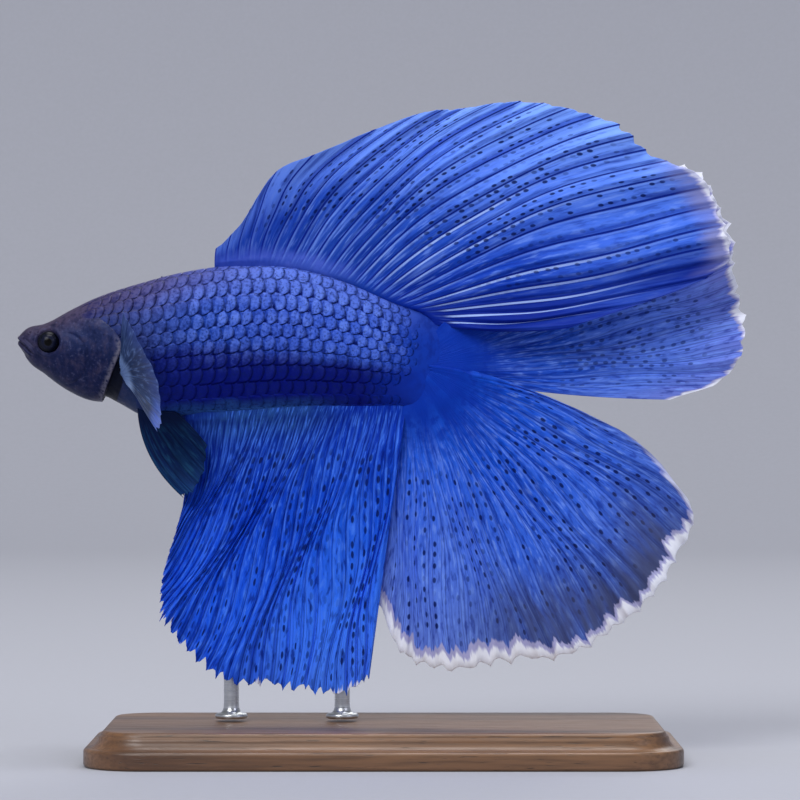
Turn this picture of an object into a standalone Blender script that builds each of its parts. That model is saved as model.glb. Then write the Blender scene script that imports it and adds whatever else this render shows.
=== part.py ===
"""A male doubletail betta, Betta splendens, as a life-size still model on a plain display stand.

The fish faces -X with its back up, so that its left side faces -Y, and the stand's underside is at Z = 0.
Every part of the fish is modelled in the fish's own frame, whose origin is the mouth: x runs back
towards the tail, y to the fish's right and z up, in millimetres. An empty carries them all at the
height at which two rods hold the fish clear of its base. One closed body is shaped first and parted by
thin cuts; each fin is a fan of bent rays with a saw-toothed rim.
"""

import math

import bmesh
import bpy
import numpy as np

MM = 0.001
GAP = 0.3  # between pieces that meet, mm

# The body: distance from the mouth, height of the back, height of the belly, half width, all in mm.
BODY = np.array(
    [
        (0.0, 0.3, -0.2, 0.45),
        (0.7, 1.0, -1.6, 1.05),
        (2.7, 1.6, -3.4, 1.90),
        (5.3, 3.0, -5.2, 2.60),
        (9.6, 4.95, -6.2, 3.30),
        (12.4, 5.8, -7.6, 3.55),
        (15.0, 6.5, -7.6, 3.60),
        (19.5, 7.3, -7.5, 3.50),
        (26.0, 7.6, -7.1, 3.15),
        (32.0, 6.2, -6.9, 2.60),
        (38.0, 3.6, -6.7, 1.85),
        (43.8, 1.4, -6.3, 1.20),
    ]
)
BODY_END = 43.8
ROUNDING_FROM = 40.0  # behind this the tail root rounds off
RUN_PER_DEGREE = 0.09  # how far the lower lobe's roots run forward for a degree past straight down
SECTION_POWER = 1.08  # 1 is an ellipse; more gives the back and the belly a keel
AROUND, ALONG = 24, 32

# Seams between the nodes of the body.
NAPE_SEAM, NAPE_SLANT = 10.6, math.radians(10)
STALK_SEAM = 35.5

# The head's own pieces.
EYE = {"x": 3.15, "z": -0.25, "radius": 1.10, "depth": 0.75, "proud": 0.35}
GILL = {"x": 7.6, "z": -1.9, "length": 2.9, "height": 3.0, "slant": 0.2, "thick": 0.8, "proud": 0.35}
POCKET_REACH = 2.0  # how far the cut for a gill cover reaches out of the cheek
JAW = {"slope": math.radians(-42), "length": 3.1, "depth": 4.0, "half_width": 3.0}

FIN_THICKNESS = 0.55

# Each ray of a median fin: place along the base, tip x, tip z, and the angle at which it leaves the body.
DORSAL_BASE = (19.4, 42.4)
DORSAL_RAYS = np.array(
    [
        (0.00, 19.5, 9.0, 90),
        (0.08, 22.2, 11.8, 88),
        (0.155, 26.2, 17.3, 84),
        (0.19, 29.0, 18.3, 81),
        (0.26, 37.7, 21.8, 72),
        (0.37, 44.4, 23.1, 62),
        (0.49, 52.1, 23.7, 56),
        (0.62, 60.0, 21.1, 48),
        (0.70, 63.2, 18.4, 42),
        (0.78, 68.2, 15.6, 33),
        (0.86, 70.2, 11.0, 16),
        (0.92, 70.4, 7.6, 4),
        (0.96, 65.6, 5.0, -3),
        (1.00, 54.2, 1.1, -9),
    ]
)
ANAL_BASE = (16.0, 38.3)
ANAL_RAYS = np.array(
    [
        (0.00, 16.6, -15.8, -84),
        (0.12, 15.2, -20.0, -92),
        (0.25, 13.6, -25.1, -100),
        (0.41, 14.5, -29.7, -106),
        (0.56, 19.5, -33.7, -110),
        (0.72, 25.4, -35.2, -108),
        (0.87, 31.0, -35.7, -103),
        (0.95, 33.6, -35.0, -99),
        (1.00, 34.7, -33.4, -98),
    ]
)
# The tail's two lobes start round the rounded tail root: their base is an angle there, in degrees.
UPPER_BASE = (-22.0, 62.0)
UPPER_RAYS = np.array(
    [
        (0.00, 64.4, -5.9, -10),
        (0.06, 69.3, -4.4, -6),
        (0.13, 71.7, -2.2, -3),
        (0.21, 72.3, 0.4, 1),
        (0.36, 72.2, 5.2, 9),
        (0.50, 71.5, 9.9, 18),
        (0.65, 70.0, 15.0, 28),
        (0.76, 67.2, 17.7, 35),
        (0.87, 62.6, 17.2, 42),
        (1.00, 57.0, 14.5, 48),
    ]
)
LOWER_BASE = (-6.0, -118.0)
LOWER_RAYS = np.array(
    [
        (0.00, 53.4, -6.3, -12),
        (0.05, 60.6, -9.6, -13),
        (0.12, 66.3, -15.8, -19),
        (0.24, 65.4, -21.7, -31),
        (0.40, 60.8, -28.0, -46),
        (0.55, 54.6, -31.6, -58),
        (0.70, 47.2, -32.7, -70),
        (0.83, 41.2, -33.2, -81),
        (0.92, 37.6, -31.0, -89),
        (1.00, 35.4, -25.9, -95),
    ]
)

# Pelvic fins: place along the base, base x, tip x, tip z, root angle.
PELVIC_RAYS = np.array(
    [
        (0.0, 11.9, 16.5, -15.6, -84),
        (0.4, 12.8, 17.7, -14.8, -70),
        (0.7, 13.7, 18.4, -12.7, -52),
        (1.0, 14.6, 18.3, -10.4, -38),
    ]
)
PELVIC_SPLAY = (0.95, 2.1)  # half distance between the pair, at the base and at the tips

# Pectoral fins: place along the base, lift above the level, sweep behind straight outwards, length.
PECTORAL_BASE = {"x": 10.9, "z": -3.3, "height": 2.2, "slant": 0.35}
PECTORAL_RAYS = np.array(
    [
        (0.0, -54, 44, 5.7),
        (0.25, -30, 29, 7.7),
        (0.5, -2, 21, 8.3),
        (0.75, 30, 7, 7.4),
        (1.0, 68, -6, 5.4),
    ]
)

# The stand.
BASE_SIZE = (58.0, 30.0, 3.5)
BASE_CORNER, BASE_CHAMFER = 6.0, 0.6
ROD_RADIUS, FOOT_RADIUS, FOOT_HEIGHT = 0.75, 1.6, 0.5
ROD_PLACES = {"stand_rod_front": 21.0, "stand_rod_rear": 32.0}
ROD_OFFSET = 1.75  # towards the fish's right side, clear of the anal fin
ROD_CRADLE = 0.8  # how far a rod's coped end reaches up the flank
FISH_ORIGIN = (-36.15, 0.0, 41.3)  # the mouth, in the stand's frame

# Linear colour, roughness and metallic value of each material.
MATERIALS = {
    "head_skin": ((0.030, 0.028, 0.050), 0.45, 0.0),
    "body_skin": ((0.030, 0.060, 0.300), 0.38, 0.0),
    "fin_blue": ((0.025, 0.085, 0.620), 0.42, 0.0),
    "tail_blue": ((0.035, 0.095, 0.520), 0.42, 0.0),
    "pelvic_skin": ((0.006, 0.012, 0.040), 0.42, 0.0),
    "pale_fin": ((0.106, 0.170, 0.342), 0.40, 0.0),
    "eye": ((0.006, 0.006, 0.012), 0.08, 0.0),
    "walnut": ((0.105, 0.048, 0.022), 0.40, 0.0),
    "steel": ((0.560, 0.570, 0.580), 0.28, 1.0),
}


# --- tools --------------------------------------------------------------------------------------


def through(table, at):
    """The columns of table as smooth curves over its first column: cubic spans that share slopes."""
    at = np.asarray(at, float)
    place, value = table[:, 0], table[:, 1:]
    slope = np.gradient(value, place, axis=0)
    low = np.clip(np.searchsorted(place, at, side="right") - 1, 0, len(place) - 2)
    width = (place[low + 1] - place[low])[..., None]
    t = (at[..., None] - place[low][..., None]) / width
    return (
        value[low] * (2 * t**3 - 3 * t**2 + 1)
        + value[low + 1] * (3 * t**2 - 2 * t**3)
        + slope[low] * width * (t**3 - 2 * t**2 + t)
        + slope[low + 1] * width * (t**3 - t**2)
    )


def eased(low, high, at):
    """0 below low, 1 above high, and a smooth step between."""
    t = np.clip((at - low) / (high - low), 0, 1)
    return t * t * (3 - 2 * t)


def collection(name):
    made = bpy.data.collections.new(name)
    bpy.context.scene.collection.children.link(made)
    return made


def material(name):
    colour, roughness, metallic = MATERIALS[name]
    made = bpy.data.materials.get(name) or bpy.data.materials.new(name)
    made.use_nodes = True
    shader = made.node_tree.nodes["Principled BSDF"]
    shader.inputs["Base Color"].default_value = (*colour, 1.0)
    shader.inputs["Roughness"].default_value = roughness
    shader.inputs["Metallic"].default_value = metallic
    made.diffuse_color = (*colour, 1.0)
    return made


def add_object(name, bm, where, finish=None, carrier=None):
    """The bmesh as an object: its points go from millimetres to metres here."""
    mesh = bpy.data.meshes.new(name)
    bmesh.ops.scale(bm, vec=(MM, MM, MM), verts=bm.verts)
    bm.to_mesh(mesh)
    bm.free()
    mesh.shade_smooth()
    mesh.set_sharp_from_angle(angle=math.radians(40))
    made = bpy.data.objects.new(name, mesh)
    where.objects.link(made)
    made.parent = carrier
    if finish:
        mesh.materials.append(material(finish))
    else:
        made.hide_render = True
        made.display_type = "WIRE"
    return made


def cut_with(target, operation, cutter):
    modifier = target.modifiers.new(cutter.name, "BOOLEAN")
    modifier.operation = operation
    modifier.solver = "EXACT"
    modifier.object = cutter


def move_points(bm, places):
    for vert, place in zip(bm.verts, places):
        vert.co = place
    face_outwards(bm)


def face_outwards(bm):
    bm.normal_update()
    bmesh.ops.recalc_face_normals(bm, faces=bm.faces)


def grid(columns, rows):
    """A grid bmesh, and each vertex's place across it and along it, from 0 to 1."""
    bm = bmesh.new()
    bmesh.ops.create_grid(bm, x_segments=columns, y_segments=rows, size=0.5)
    places = np.array([vert.co for vert in bm.verts]) + 0.5
    return bm, places[:, 0], places[:, 1]


# --- the body -----------------------------------------------------------------------------------


def section(x):
    """Middle height, half depth and half width of the body at x. Behind ROUNDING_FROM they close."""
    back, belly, half_width = np.moveaxis(through(BODY, x), -1, 0)
    along = np.clip((np.asarray(x) - ROUNDING_FROM) / (BODY_END - ROUNDING_FROM), 0, 1)
    closing = np.sqrt(1 - along**2)
    return (back + belly) / 2, (back - belly) / 2 * closing, half_width * np.sqrt(closing)


def flank(x, z):
    """How far the body's side is from its middle plane at a point seen from the side."""
    middle, half_depth, half_width = section(x)
    share = np.clip((z - middle) / half_depth, -1, 1)
    return half_width * (1 - share**2) ** (SECTION_POWER / 2)


def body(inflated=0.0):
    """The whole body as a closed sphere of rings, each moved onto its own section of the fish."""
    bm = bmesh.new()
    bmesh.ops.create_uvsphere(bm, u_segments=AROUND, v_segments=ALONG, radius=1)
    unit = np.array([vert.co for vert in bm.verts])
    polar = np.arccos(np.clip(unit[:, 2], -1, 1)) / math.pi
    around = np.arctan2(unit[:, 1], unit[:, 0])
    # Rings crowd together at the snout and at the rounded tail root.
    x = BODY_END * (0.55 * polar + 0.45 * (1 - np.cos(math.pi * polar)) / 2)
    middle, half_depth, half_width = section(x)
    on_ring = (polar > 0) & (polar < 1)
    side = np.sin(around)
    y = (half_width + inflated) * np.sign(side) * np.abs(side) ** SECTION_POWER * on_ring
    z = middle + (half_depth + inflated) * np.cos(around) * on_ring
    x = x + inflated * (np.sign(polar - 0.5) * ~on_ring)
    move_points(bm, np.stack([x, y, z], 1))
    return bm


def slab(front=None, rear=None, slant_front=0.0, slant_rear=0.0):
    """The body between two cuts across it, each half a gap short of its seam and closed flat."""
    bm = body()
    for at, slant, side in ((front, slant_front, -1), (rear, slant_rear, 1)):
        if at is None:
            continue
        normal = (math.cos(slant) * side, 0, -math.sin(slant) * side)
        geometry = [*bm.verts, *bm.edges, *bm.faces]
        place = (at - side * GAP / 2, 0, 0)
        bmesh.ops.bisect_plane(bm, geom=geometry, plane_co=place, plane_no=normal, clear_outer=True)
        bmesh.ops.holes_fill(bm, edges=bm.edges, sides=0)
    face_outwards(bm)
    return bm


def ball(segments, rings):
    """A sphere's bmesh with its poles on the y axis, and its unit coordinates."""
    bm = bmesh.new()
    bmesh.ops.create_uvsphere(bm, u_segments=segments, v_segments=rings, radius=1)
    unit = np.array([vert.co for vert in bm.verts])
    return bm, unit[:, [0, 2, 1]]


def eyeball(side, spare=0.0):
    """A lens-shaped eye: a sphere flattened across the head, set in by all but what stands proud."""
    bm, unit = ball(14, 8)
    radius, depth = EYE["radius"] + spare, EYE["depth"] + spare
    centre = flank(EYE["x"], EYE["z"]) + EYE["proud"] - EYE["depth"]
    move_points(bm, unit * (radius, depth, radius) + (EYE["x"], side * centre, EYE["z"]))
    return bm


def gill_plate(side, spare=0.0, outward=0.0):
    """A lens-shaped plate that follows the cheek, with its rear edge standing proud of the shoulder."""
    bm, unit = ball(18, 8)
    rise = (GILL["height"] + spare) * unit[:, 2]
    x = GILL["x"] + (GILL["length"] + spare) * unit[:, 0] + GILL["slant"] * rise
    z = GILL["z"] + rise
    middle = flank(x, z) + GILL["proud"] * eased(-0.3, 1.0, unit[:, 0]) - GILL["thick"] / 2
    outer = GILL["thick"] / 2 + outward
    inner = GILL["thick"] / 2 + spare
    y = middle + unit[:, 1] * np.where(unit[:, 1] > 0, outer, inner)
    move_points(bm, np.stack([x, side * y, z], 1))
    return bm


def jaw_wedge(spare):
    """A block whose top lies in the mouth's slit, which slopes down and back from the lips."""
    bm = bmesh.new()
    bmesh.ops.create_cube(bm, size=1)
    unit = np.array([vert.co for vert in bm.verts])
    ahead = 2.0
    length, depth = JAW["length"] + ahead + spare, JAW["depth"] + spare
    along = (unit[:, 0] + 0.5) * length - ahead
    below = (0.5 - unit[:, 2]) * depth + GAP / 2 - spare
    slope = JAW["slope"]
    x = along * math.cos(slope) + below * math.sin(slope)
    z = along * math.sin(slope) - below * math.cos(slope)
    move_points(bm, np.stack([x, 2 * JAW["half_width"] * unit[:, 1], z], 1))
    return bm


def add_body(parts, cutters, fish):
    """Head, jaw, gill covers, eyes, trunk and tail stalk."""
    head = add_object("head", slab(rear=NAPE_SEAM, slant_rear=NAPE_SLANT), parts, "head_skin", fish)
    jaw = add_object("lower_jaw", slab(rear=NAPE_SEAM), parts, "head_skin", fish)
    trunk = slab(NAPE_SEAM, STALK_SEAM, slant_front=NAPE_SLANT)
    trunk = add_object("trunk", trunk, parts, "body_skin", fish)
    add_object("tail_stalk", slab(front=STALK_SEAM), parts, "body_skin", fish)
    for name, side in (("left", -1), ("right", 1)):
        add_object(f"eye_{name}", eyeball(side), parts, "eye", fish)
        add_object(f"gill_cover_{name}", gill_plate(side), parts, "head_skin", fish)
        socket = add_object(f"socket_{name}", eyeball(side, GAP), cutters, carrier=fish)
        cut_with(head, "DIFFERENCE", socket)
        pocket = gill_plate(side, GAP, outward=POCKET_REACH)
        pocket = add_object(f"gill_pocket_{name}", pocket, cutters, carrier=fish)
        cut_with(head, "DIFFERENCE", pocket)
        cut_with(trunk, "DIFFERENCE", pocket)
    cut_with(head, "DIFFERENCE", add_object("jaw_room", jaw_wedge(GAP), cutters, carrier=fish))
    cut_with(jaw, "INTERSECT", add_object("jaw_block", jaw_wedge(0.0), cutters, carrier=fish))


# --- fins ---------------------------------------------------------------------------------------


def fan(columns, rows, root, aim, tip, fold, notch=0.0, reach=0.5):
    """A fin as a sheet of rays with thickness, its rim cut to a saw edge of one tooth a ray.

    Each ray is a quadratic curve from root(u), leaving in the direction aim(u), to tip(u); u counts
    the rays and t runs out along one. fold(u, t) shifts the sheet sideways. notch is how far the web
    between two rays falls short of their tips, as a share of their length."""
    bm, u, t = grid(columns, rows)
    between = np.round(u * columns).astype(int) % 2
    t = t * (1 - notch * between * eased(0.0, 0.06, u) * eased(0.0, 0.06, 1 - u))
    start, end = root(u), tip(u)
    length = np.linalg.norm(end - start, axis=1, keepdims=True)
    middle = start + aim(u) * length * reach
    t3 = t[:, None]
    places = (1 - t3) ** 2 * start + 2 * t3 * (1 - t3) * middle + t3**2 * end
    move_points(bm, places + fold(u, t))
    return bm


def add_fin(name, bm, parts, finish, fish):
    fin = add_object(name, bm, parts, finish, fish)
    wall = fin.modifiers.new("thickness", "SOLIDIFY")
    wall.thickness = FIN_THICKNESS * MM
    wall.offset = 0.0


def in_plane(angle_degrees):
    angle = np.radians(angle_degrees)
    return np.stack([np.cos(angle), np.zeros_like(angle), np.sin(angle)], 1)


def sideways(amount):
    return np.stack([np.zeros_like(amount), amount, np.zeros_like(amount)], 1)


def median_fin(rays, root, fold, columns, rows, notch):
    """A fin on the middle plane: its table holds each ray's tip and root angle."""

    def aim(u):
        return in_plane(through(rays, u)[:, 2])

    def tip(u):
        x, z, _ = through(rays, u).T
        return np.stack([x, np.zeros_like(x), z], 1)

    return fan(columns, rows, root, aim, tip, fold, notch)


def along_body(base, edge):
    """Roots in a line along the back (edge 1) or the belly (edge -1), a gap off the skin."""

    def root(u):
        x = base[0] + (base[1] - base[0]) * u
        middle, half_depth, _ = section(x)
        return np.stack([x, np.zeros_like(x), middle + edge * (half_depth + GAP)], 1)

    return root


def round_tail_root(base):
    """Roots round the end of the tail stalk, a gap off the skin, between two angles.

    Past a right angle they run forward along the belly instead."""

    def root(u):
        degrees = base[0] + (base[1] - base[0]) * u
        past = np.maximum(np.abs(degrees) - 90, 0)
        angle = np.radians(np.clip(degrees, -90, 90))
        x = ROUNDING_FROM + (BODY_END - ROUNDING_FROM + GAP) * np.cos(angle) - RUN_PER_DEGREE * past
        back, belly, _ = through(BODY, np.minimum(x, BODY_END)).T
        z = (back + belly) / 2 + ((back - belly) / 2 + GAP) * np.sin(angle)
        return np.stack([x, np.zeros_like(x), z], 1)

    return root


def dorsal_fold(u, t):
    """The rear of the dorsal leans to the fish's left, in front of the tail, and is pleated."""
    lean = eased(0.35, 1.0, u)
    pleats = 0.42 * t * np.sin(2 * math.pi * 9 * u) * eased(0.0, 0.2, u)
    return sideways(-(0.5 + 3.0 * t) * lean + pleats)


def anal_fold(u, t):
    """A skirt of soft waves to the left of the rods. Its rear leans in front of the lower lobe."""
    waves = 0.38 * t * np.sin(2 * math.pi * (4.5 * u + 0.1)) * (1 - 0.6 * eased(0.75, 1.0, u))
    return sideways(-0.35 * t - 0.5 * eased(0.7, 0.95, u) + waves)


def upper_fold(u, t):
    """The upper lobe leans to the fish's right, behind the lower lobe's root and the dorsal."""
    lean = 0.5 + 2.0 * t * eased(0.0, 0.45, u)
    return sideways(lean + 0.4 * t * np.sin(2 * math.pi * 4 * u) * eased(0.0, 0.12, u))


def lower_fold(u, t):
    """The lower lobe starts left of the upper one and ends right of the anal fin."""
    waves = 0.5 * t * np.sin(2 * math.pi * (4.5 * u + 0.25)) * eased(0.0, 0.12, u) * eased(0.0, 0.15, 1 - u)
    return sideways(waves - 0.5 * eased(0.0, 0.2, 0.2 - u) + 0.6 * eased(0.7, 0.9, u))


def pelvic_fin(side):
    """One of the pair under the breast: a narrow blade swept back along the anal fin."""

    def root(u):
        x = through(PELVIC_RAYS, u)[:, 0]
        middle, half_depth, half_width = section(x)
        y = np.full_like(x, PELVIC_SPLAY[0])
        drop = half_depth * np.sqrt(1 - (y / half_width) ** 2)
        return np.stack([x, side * y, middle - drop - GAP], 1)

    def aim(u):
        return in_plane(through(PELVIC_RAYS, u)[:, 3])

    def tip(u):
        _, x, z, _ = through(PELVIC_RAYS, u).T
        return np.stack([x, np.full_like(x, side * PELVIC_SPLAY[1]), z], 1)

    def fold(u, t):
        return sideways(side * 0.25 * t * np.sin(2 * math.pi * u))

    return fan(8, 6, root, aim, tip, fold, notch=0.05)


def pectoral_fin(side):
    """One of the pair behind the gill covers: a small cupped fan held out from the flank."""

    def root(u):
        rise = (u - 0.5) * PECTORAL_BASE["height"]
        x = PECTORAL_BASE["x"] - rise * PECTORAL_BASE["slant"]
        z = PECTORAL_BASE["z"] + rise
        return np.stack([x, side * (flank(x, z) + GAP + FIN_THICKNESS / 2), z], 1)

    def aim(u):
        lift, sweep, _ = np.radians(through(PECTORAL_RAYS, u)).T
        level = np.cos(lift)
        return np.stack([level * np.sin(sweep), side * level * np.cos(sweep), np.sin(lift)], 1)

    def tip(u):
        return root(u) + aim(u) * through(PECTORAL_RAYS, u)[:, 2:3]

    def fold(u, t):
        cup = 0.5 * t**2
        return np.stack([cup, np.zeros_like(t), np.zeros_like(t)], 1)

    return fan(14, 4, root, aim, tip, fold, notch=0.05)


def add_fins(parts, fish):
    dorsal = along_body(DORSAL_BASE, 1)
    dorsal = median_fin(DORSAL_RAYS, dorsal, dorsal_fold, columns=46, rows=6, notch=0.035)
    add_fin("dorsal_fin", dorsal, parts, "fin_blue", fish)
    anal = along_body(ANAL_BASE, -1)
    anal = median_fin(ANAL_RAYS, anal, anal_fold, columns=40, rows=6, notch=0.045)
    add_fin("anal_fin", anal, parts, "fin_blue", fish)
    upper = round_tail_root(UPPER_BASE)
    upper = median_fin(UPPER_RAYS, upper, upper_fold, columns=34, rows=6, notch=0.035)
    add_fin("tail_fin_upper", upper, parts, "tail_blue", fish)
    lower = round_tail_root(LOWER_BASE)
    lower = median_fin(LOWER_RAYS, lower, lower_fold, columns=42, rows=6, notch=0.035)
    add_fin("tail_fin_lower", lower, parts, "tail_blue", fish)
    for name, side in (("left", -1), ("right", 1)):
        add_fin(f"pelvic_fin_{name}", pelvic_fin(side), parts, "pelvic_skin", fish)
        add_fin(f"pectoral_fin_{name}", pectoral_fin(side), parts, "pale_fin", fish)


# --- the stand ----------------------------------------------------------------------------------


def add_stand(parts, cutters, fish):
    """A flat wooden base with round corners, and two rods coped to the belly's right side."""
    bm = bmesh.new()
    bmesh.ops.create_cube(bm, size=1)
    bmesh.ops.scale(bm, vec=BASE_SIZE, verts=bm.verts)
    bmesh.ops.translate(bm, vec=(0, 0, BASE_SIZE[2] / 2), verts=bm.verts)
    uprights = [e for e in bm.edges if abs(e.verts[0].co.z - e.verts[1].co.z) > BASE_SIZE[2] / 2]
    bmesh.ops.bevel(
        bm, geom=uprights, offset=BASE_CORNER, offset_type="OFFSET", segments=7, profile=0.5,
        affect="EDGES",
    )
    base = add_object("stand_base", bm, parts, "walnut")
    chamfer = base.modifiers.new("chamfer", "BEVEL")
    chamfer.width = BASE_CHAMFER * MM
    chamfer.segments = 2
    chamfer.limit_method = "ANGLE"
    chamfer.angle_limit = math.radians(60)
    room = add_object("belly_room", body(inflated=GAP), cutters, carrier=fish)
    for name, x in ROD_PLACES.items():
        add_rod(name, x, parts, room)


def add_rod(name, x, parts, room):
    """A round rod turned with a small foot, standing a gap above the base."""
    middle, half_depth, half_width = section(x)
    touch = middle - half_depth * math.sqrt(1 - (ROD_OFFSET / half_width) ** 2)
    foot = BASE_SIZE[2] + GAP
    top = FISH_ORIGIN[2] + touch + ROD_CRADLE
    outline = [
        (0, top),
        (ROD_RADIUS, top),
        (ROD_RADIUS, foot + 2 * FOOT_HEIGHT),
        (FOOT_RADIUS, foot + FOOT_HEIGHT),
        (FOOT_RADIUS, foot),
        (0, foot),
    ]
    bm = bmesh.new()
    verts = [bm.verts.new((radius, 0, height)) for radius, height in outline]
    for first, second in zip(verts, verts[1:]):
        bm.edges.new((first, second))
    rod = add_object(name, bm, parts, "steel")
    rod.location = ((FISH_ORIGIN[0] + x) * MM, ROD_OFFSET * MM, 0)
    turn = rod.modifiers.new("turn", "SCREW")
    turn.steps = turn.render_steps = 16
    turn.use_merge_vertices = True
    turn.merge_threshold = 0.00001
    cut_with(rod, "DIFFERENCE", room)


def main():
    for obj in list(bpy.data.objects):
        bpy.data.objects.remove(obj)
    parts, cutters = collection("betta_fish"), collection("cutters")
    fish = bpy.data.objects.new("fish", None)
    parts.objects.link(fish)
    fish.location = [value * MM for value in FISH_ORIGIN]
    add_body(parts, cutters, fish)
    add_fins(parts, fish)
    add_stand(parts, cutters, fish)


main()
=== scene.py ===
"""A male doubletail betta, Betta splendens, as a finished still model on a plain display stand.

The body is one skin with the head's own forms, under a coat of overlapping scales. The fins are thin
leaves with branching rays. Lengths inside the shapes are in millimetres in the fish's own frame, whose
origin is the mouth: x runs back to the tail, y to the fish's right and z up. Its place comes from the
frame, where the two eyes are.
"""

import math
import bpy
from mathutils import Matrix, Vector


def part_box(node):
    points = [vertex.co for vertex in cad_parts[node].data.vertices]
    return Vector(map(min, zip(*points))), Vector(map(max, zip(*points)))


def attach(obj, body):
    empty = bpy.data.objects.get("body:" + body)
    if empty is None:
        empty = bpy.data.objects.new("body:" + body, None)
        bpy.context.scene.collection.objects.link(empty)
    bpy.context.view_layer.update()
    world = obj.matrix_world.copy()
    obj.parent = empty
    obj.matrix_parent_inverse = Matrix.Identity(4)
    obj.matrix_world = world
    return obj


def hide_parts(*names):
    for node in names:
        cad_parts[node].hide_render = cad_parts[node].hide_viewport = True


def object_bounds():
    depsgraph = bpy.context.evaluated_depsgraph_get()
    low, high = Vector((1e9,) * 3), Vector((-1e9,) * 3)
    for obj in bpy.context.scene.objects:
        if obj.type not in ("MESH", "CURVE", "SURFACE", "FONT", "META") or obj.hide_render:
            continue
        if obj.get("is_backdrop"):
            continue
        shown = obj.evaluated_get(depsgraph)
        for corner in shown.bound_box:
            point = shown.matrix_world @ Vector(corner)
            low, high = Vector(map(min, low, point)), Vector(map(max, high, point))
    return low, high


bl_info = {
    "name": "Doubletail Betta Model",
    "version": (1, 0, 0),
    "blender": (4, 5, 0),
    "location": "3D View > Sidebar > Betta",
    "description": "Builds a life-size betta with scales and ray fins on a display stand",
    "category": "Object",
}

from functools import partial
from types import SimpleNamespace

import bpy
import numpy as np
from bpy.props import FloatProperty, FloatVectorProperty, IntProperty, PointerProperty
from mathutils import Vector

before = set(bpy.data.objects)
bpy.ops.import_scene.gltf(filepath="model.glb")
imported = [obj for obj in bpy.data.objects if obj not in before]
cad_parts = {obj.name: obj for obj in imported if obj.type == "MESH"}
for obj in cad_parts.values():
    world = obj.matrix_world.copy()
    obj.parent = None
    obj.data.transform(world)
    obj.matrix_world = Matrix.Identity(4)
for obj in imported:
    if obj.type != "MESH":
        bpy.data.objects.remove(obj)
CAD_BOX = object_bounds()

MM = 0.001

# --- the body's own measures, in mm -------------------------------------------------------------

# Along the body: distance from the mouth, height of the back, height of the belly, half width.
BODY = np.array(
    [
        (0.0, 0.3, -0.2, 0.45),
        (0.7, 1.0, -1.6, 1.05),
        (2.7, 1.6, -3.4, 1.90),
        (5.3, 3.0, -5.2, 2.60),
        (9.6, 4.95, -6.2, 3.30),
        (12.4, 5.8, -7.6, 3.55),
        (15.0, 6.5, -7.6, 3.60),
        (19.5, 7.3, -7.5, 3.50),
        (26.0, 7.6, -7.1, 3.15),
        (32.0, 6.2, -6.9, 2.60),
        (38.0, 3.6, -6.7, 1.85),
        (43.8, 1.4, -6.3, 1.20),
    ]
)
SNOUT_ROUNDING = 0.3  # how far behind the mouth the snout is closed
ROUNDING_FROM, BODY_END = 40.0, 43.8  # where the tail root starts to close, and its end
THINNING_FROM, THINNING = 35.0, 0.72  # the share of its width that the tail root loses
SECTION_POWER = 1.08  # 1 is an ellipse, and more is keeled
EVENING = 0.175  # spreads the rings' points evenly from the back to the belly
BARE_TO, COAT_FROM = 6.5, 10.5  # where the bare head ends, and where the coat has its full depth

GAP = 0.3  # between the body and where the fins' rays are measured from
RUN_PER_DEGREE = 0.09  # how far the tail's rays run forward along the belly, past straight down
FIN_THICKNESS = 0.55  # the solids' own fins, in which the thin ones lie

# depth is half the eye's thickness, and proud is how far its middle stands out of the flank with that.
EYE = {"x": 3.15, "z": -0.25, "radius": 1.10, "depth": 0.75, "proud": 0.35}
CORNEA = {"radius": 0.72, "height": 0.10}
MOUTH_SLOPE, MOUTH_LENGTH = math.radians(42), 2.1
NOSTRILS = ((1.25, 0.72), (2.05, 0.68))
GILL_TOP, GILL_CORNER_X, GILL_CORNER_Z = 2.3, 10.5, -0.9
GILL_ROUNDING, GILL_SLANT = 0.25, 0.42  # how its edge falls back over its corner, and slants under it

# Ridges and grooves: how far each stands out, where its middle is and how wide it is.
LIPS = ((0.10, 0.22, 0.15), (0.13, -0.21, 0.16), (-0.24, 0.0, 0.06))  # up from the mouth's line
ORBIT = ((0.09, 1.36, 0.18), (-0.13, 1.14, 0.07))  # out from the eye's middle
SOCKET = {"depth": 0.8, "from": 0.95, "to": 1.10}  # the skin drops in behind the eye between these radii
NOSTRIL = ((0.05, 0.17, 0.07), (-0.16, 0.0, 0.1))  # out from its own middle
# Folds over and under the mouth, each with the stretch of the mouth's line where it comes up and goes down.
MOUTH_FOLDS = (((-0.07, 0.62, 0.08), (0.2, 0.8, 1.6, 2.4)), ((-0.05, -0.62, 0.09), (0.1, 0.7, 1.7, 2.5)))
# The cheek and the groove round it, before the gill cover, are ellipses with these middles and half axes.
CHEEK = {"x": 5.3, "z": -2.0, "half": (1.5, 1.5), "height": 0.12}
CHEEK_GROOVE = {"x": 5.0, "z": -1.9, "half": (2.0, 2.5), "height": -0.08}
BROW = {"x": 3.4, "over_eye": 1.75, "height": 0.05}
COVER_RISE, COVER_RUN = 0.30, (3.4, 0.5)  # how far its edge stands out, and how far ahead of it that starts and ends
CLEFT = {"depth": 0.28, "width": 0.35, "more_width_below": 0.55}

SCALES_END = 40.0  # no scale grows behind it
# How far behind the gill cover the coat starts: everywhere, and how much more between two heights on the breast.
COAT_BEHIND_GILL, COAT_OFF_BREAST = 0.2, ((2.1, -1.2, -2.6), (0.8, -3.5, -5.0), (1.6, -5.0, -5.8))
COAT_ON_NAPE = 7.0  # and where it starts above the gill cover
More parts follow.
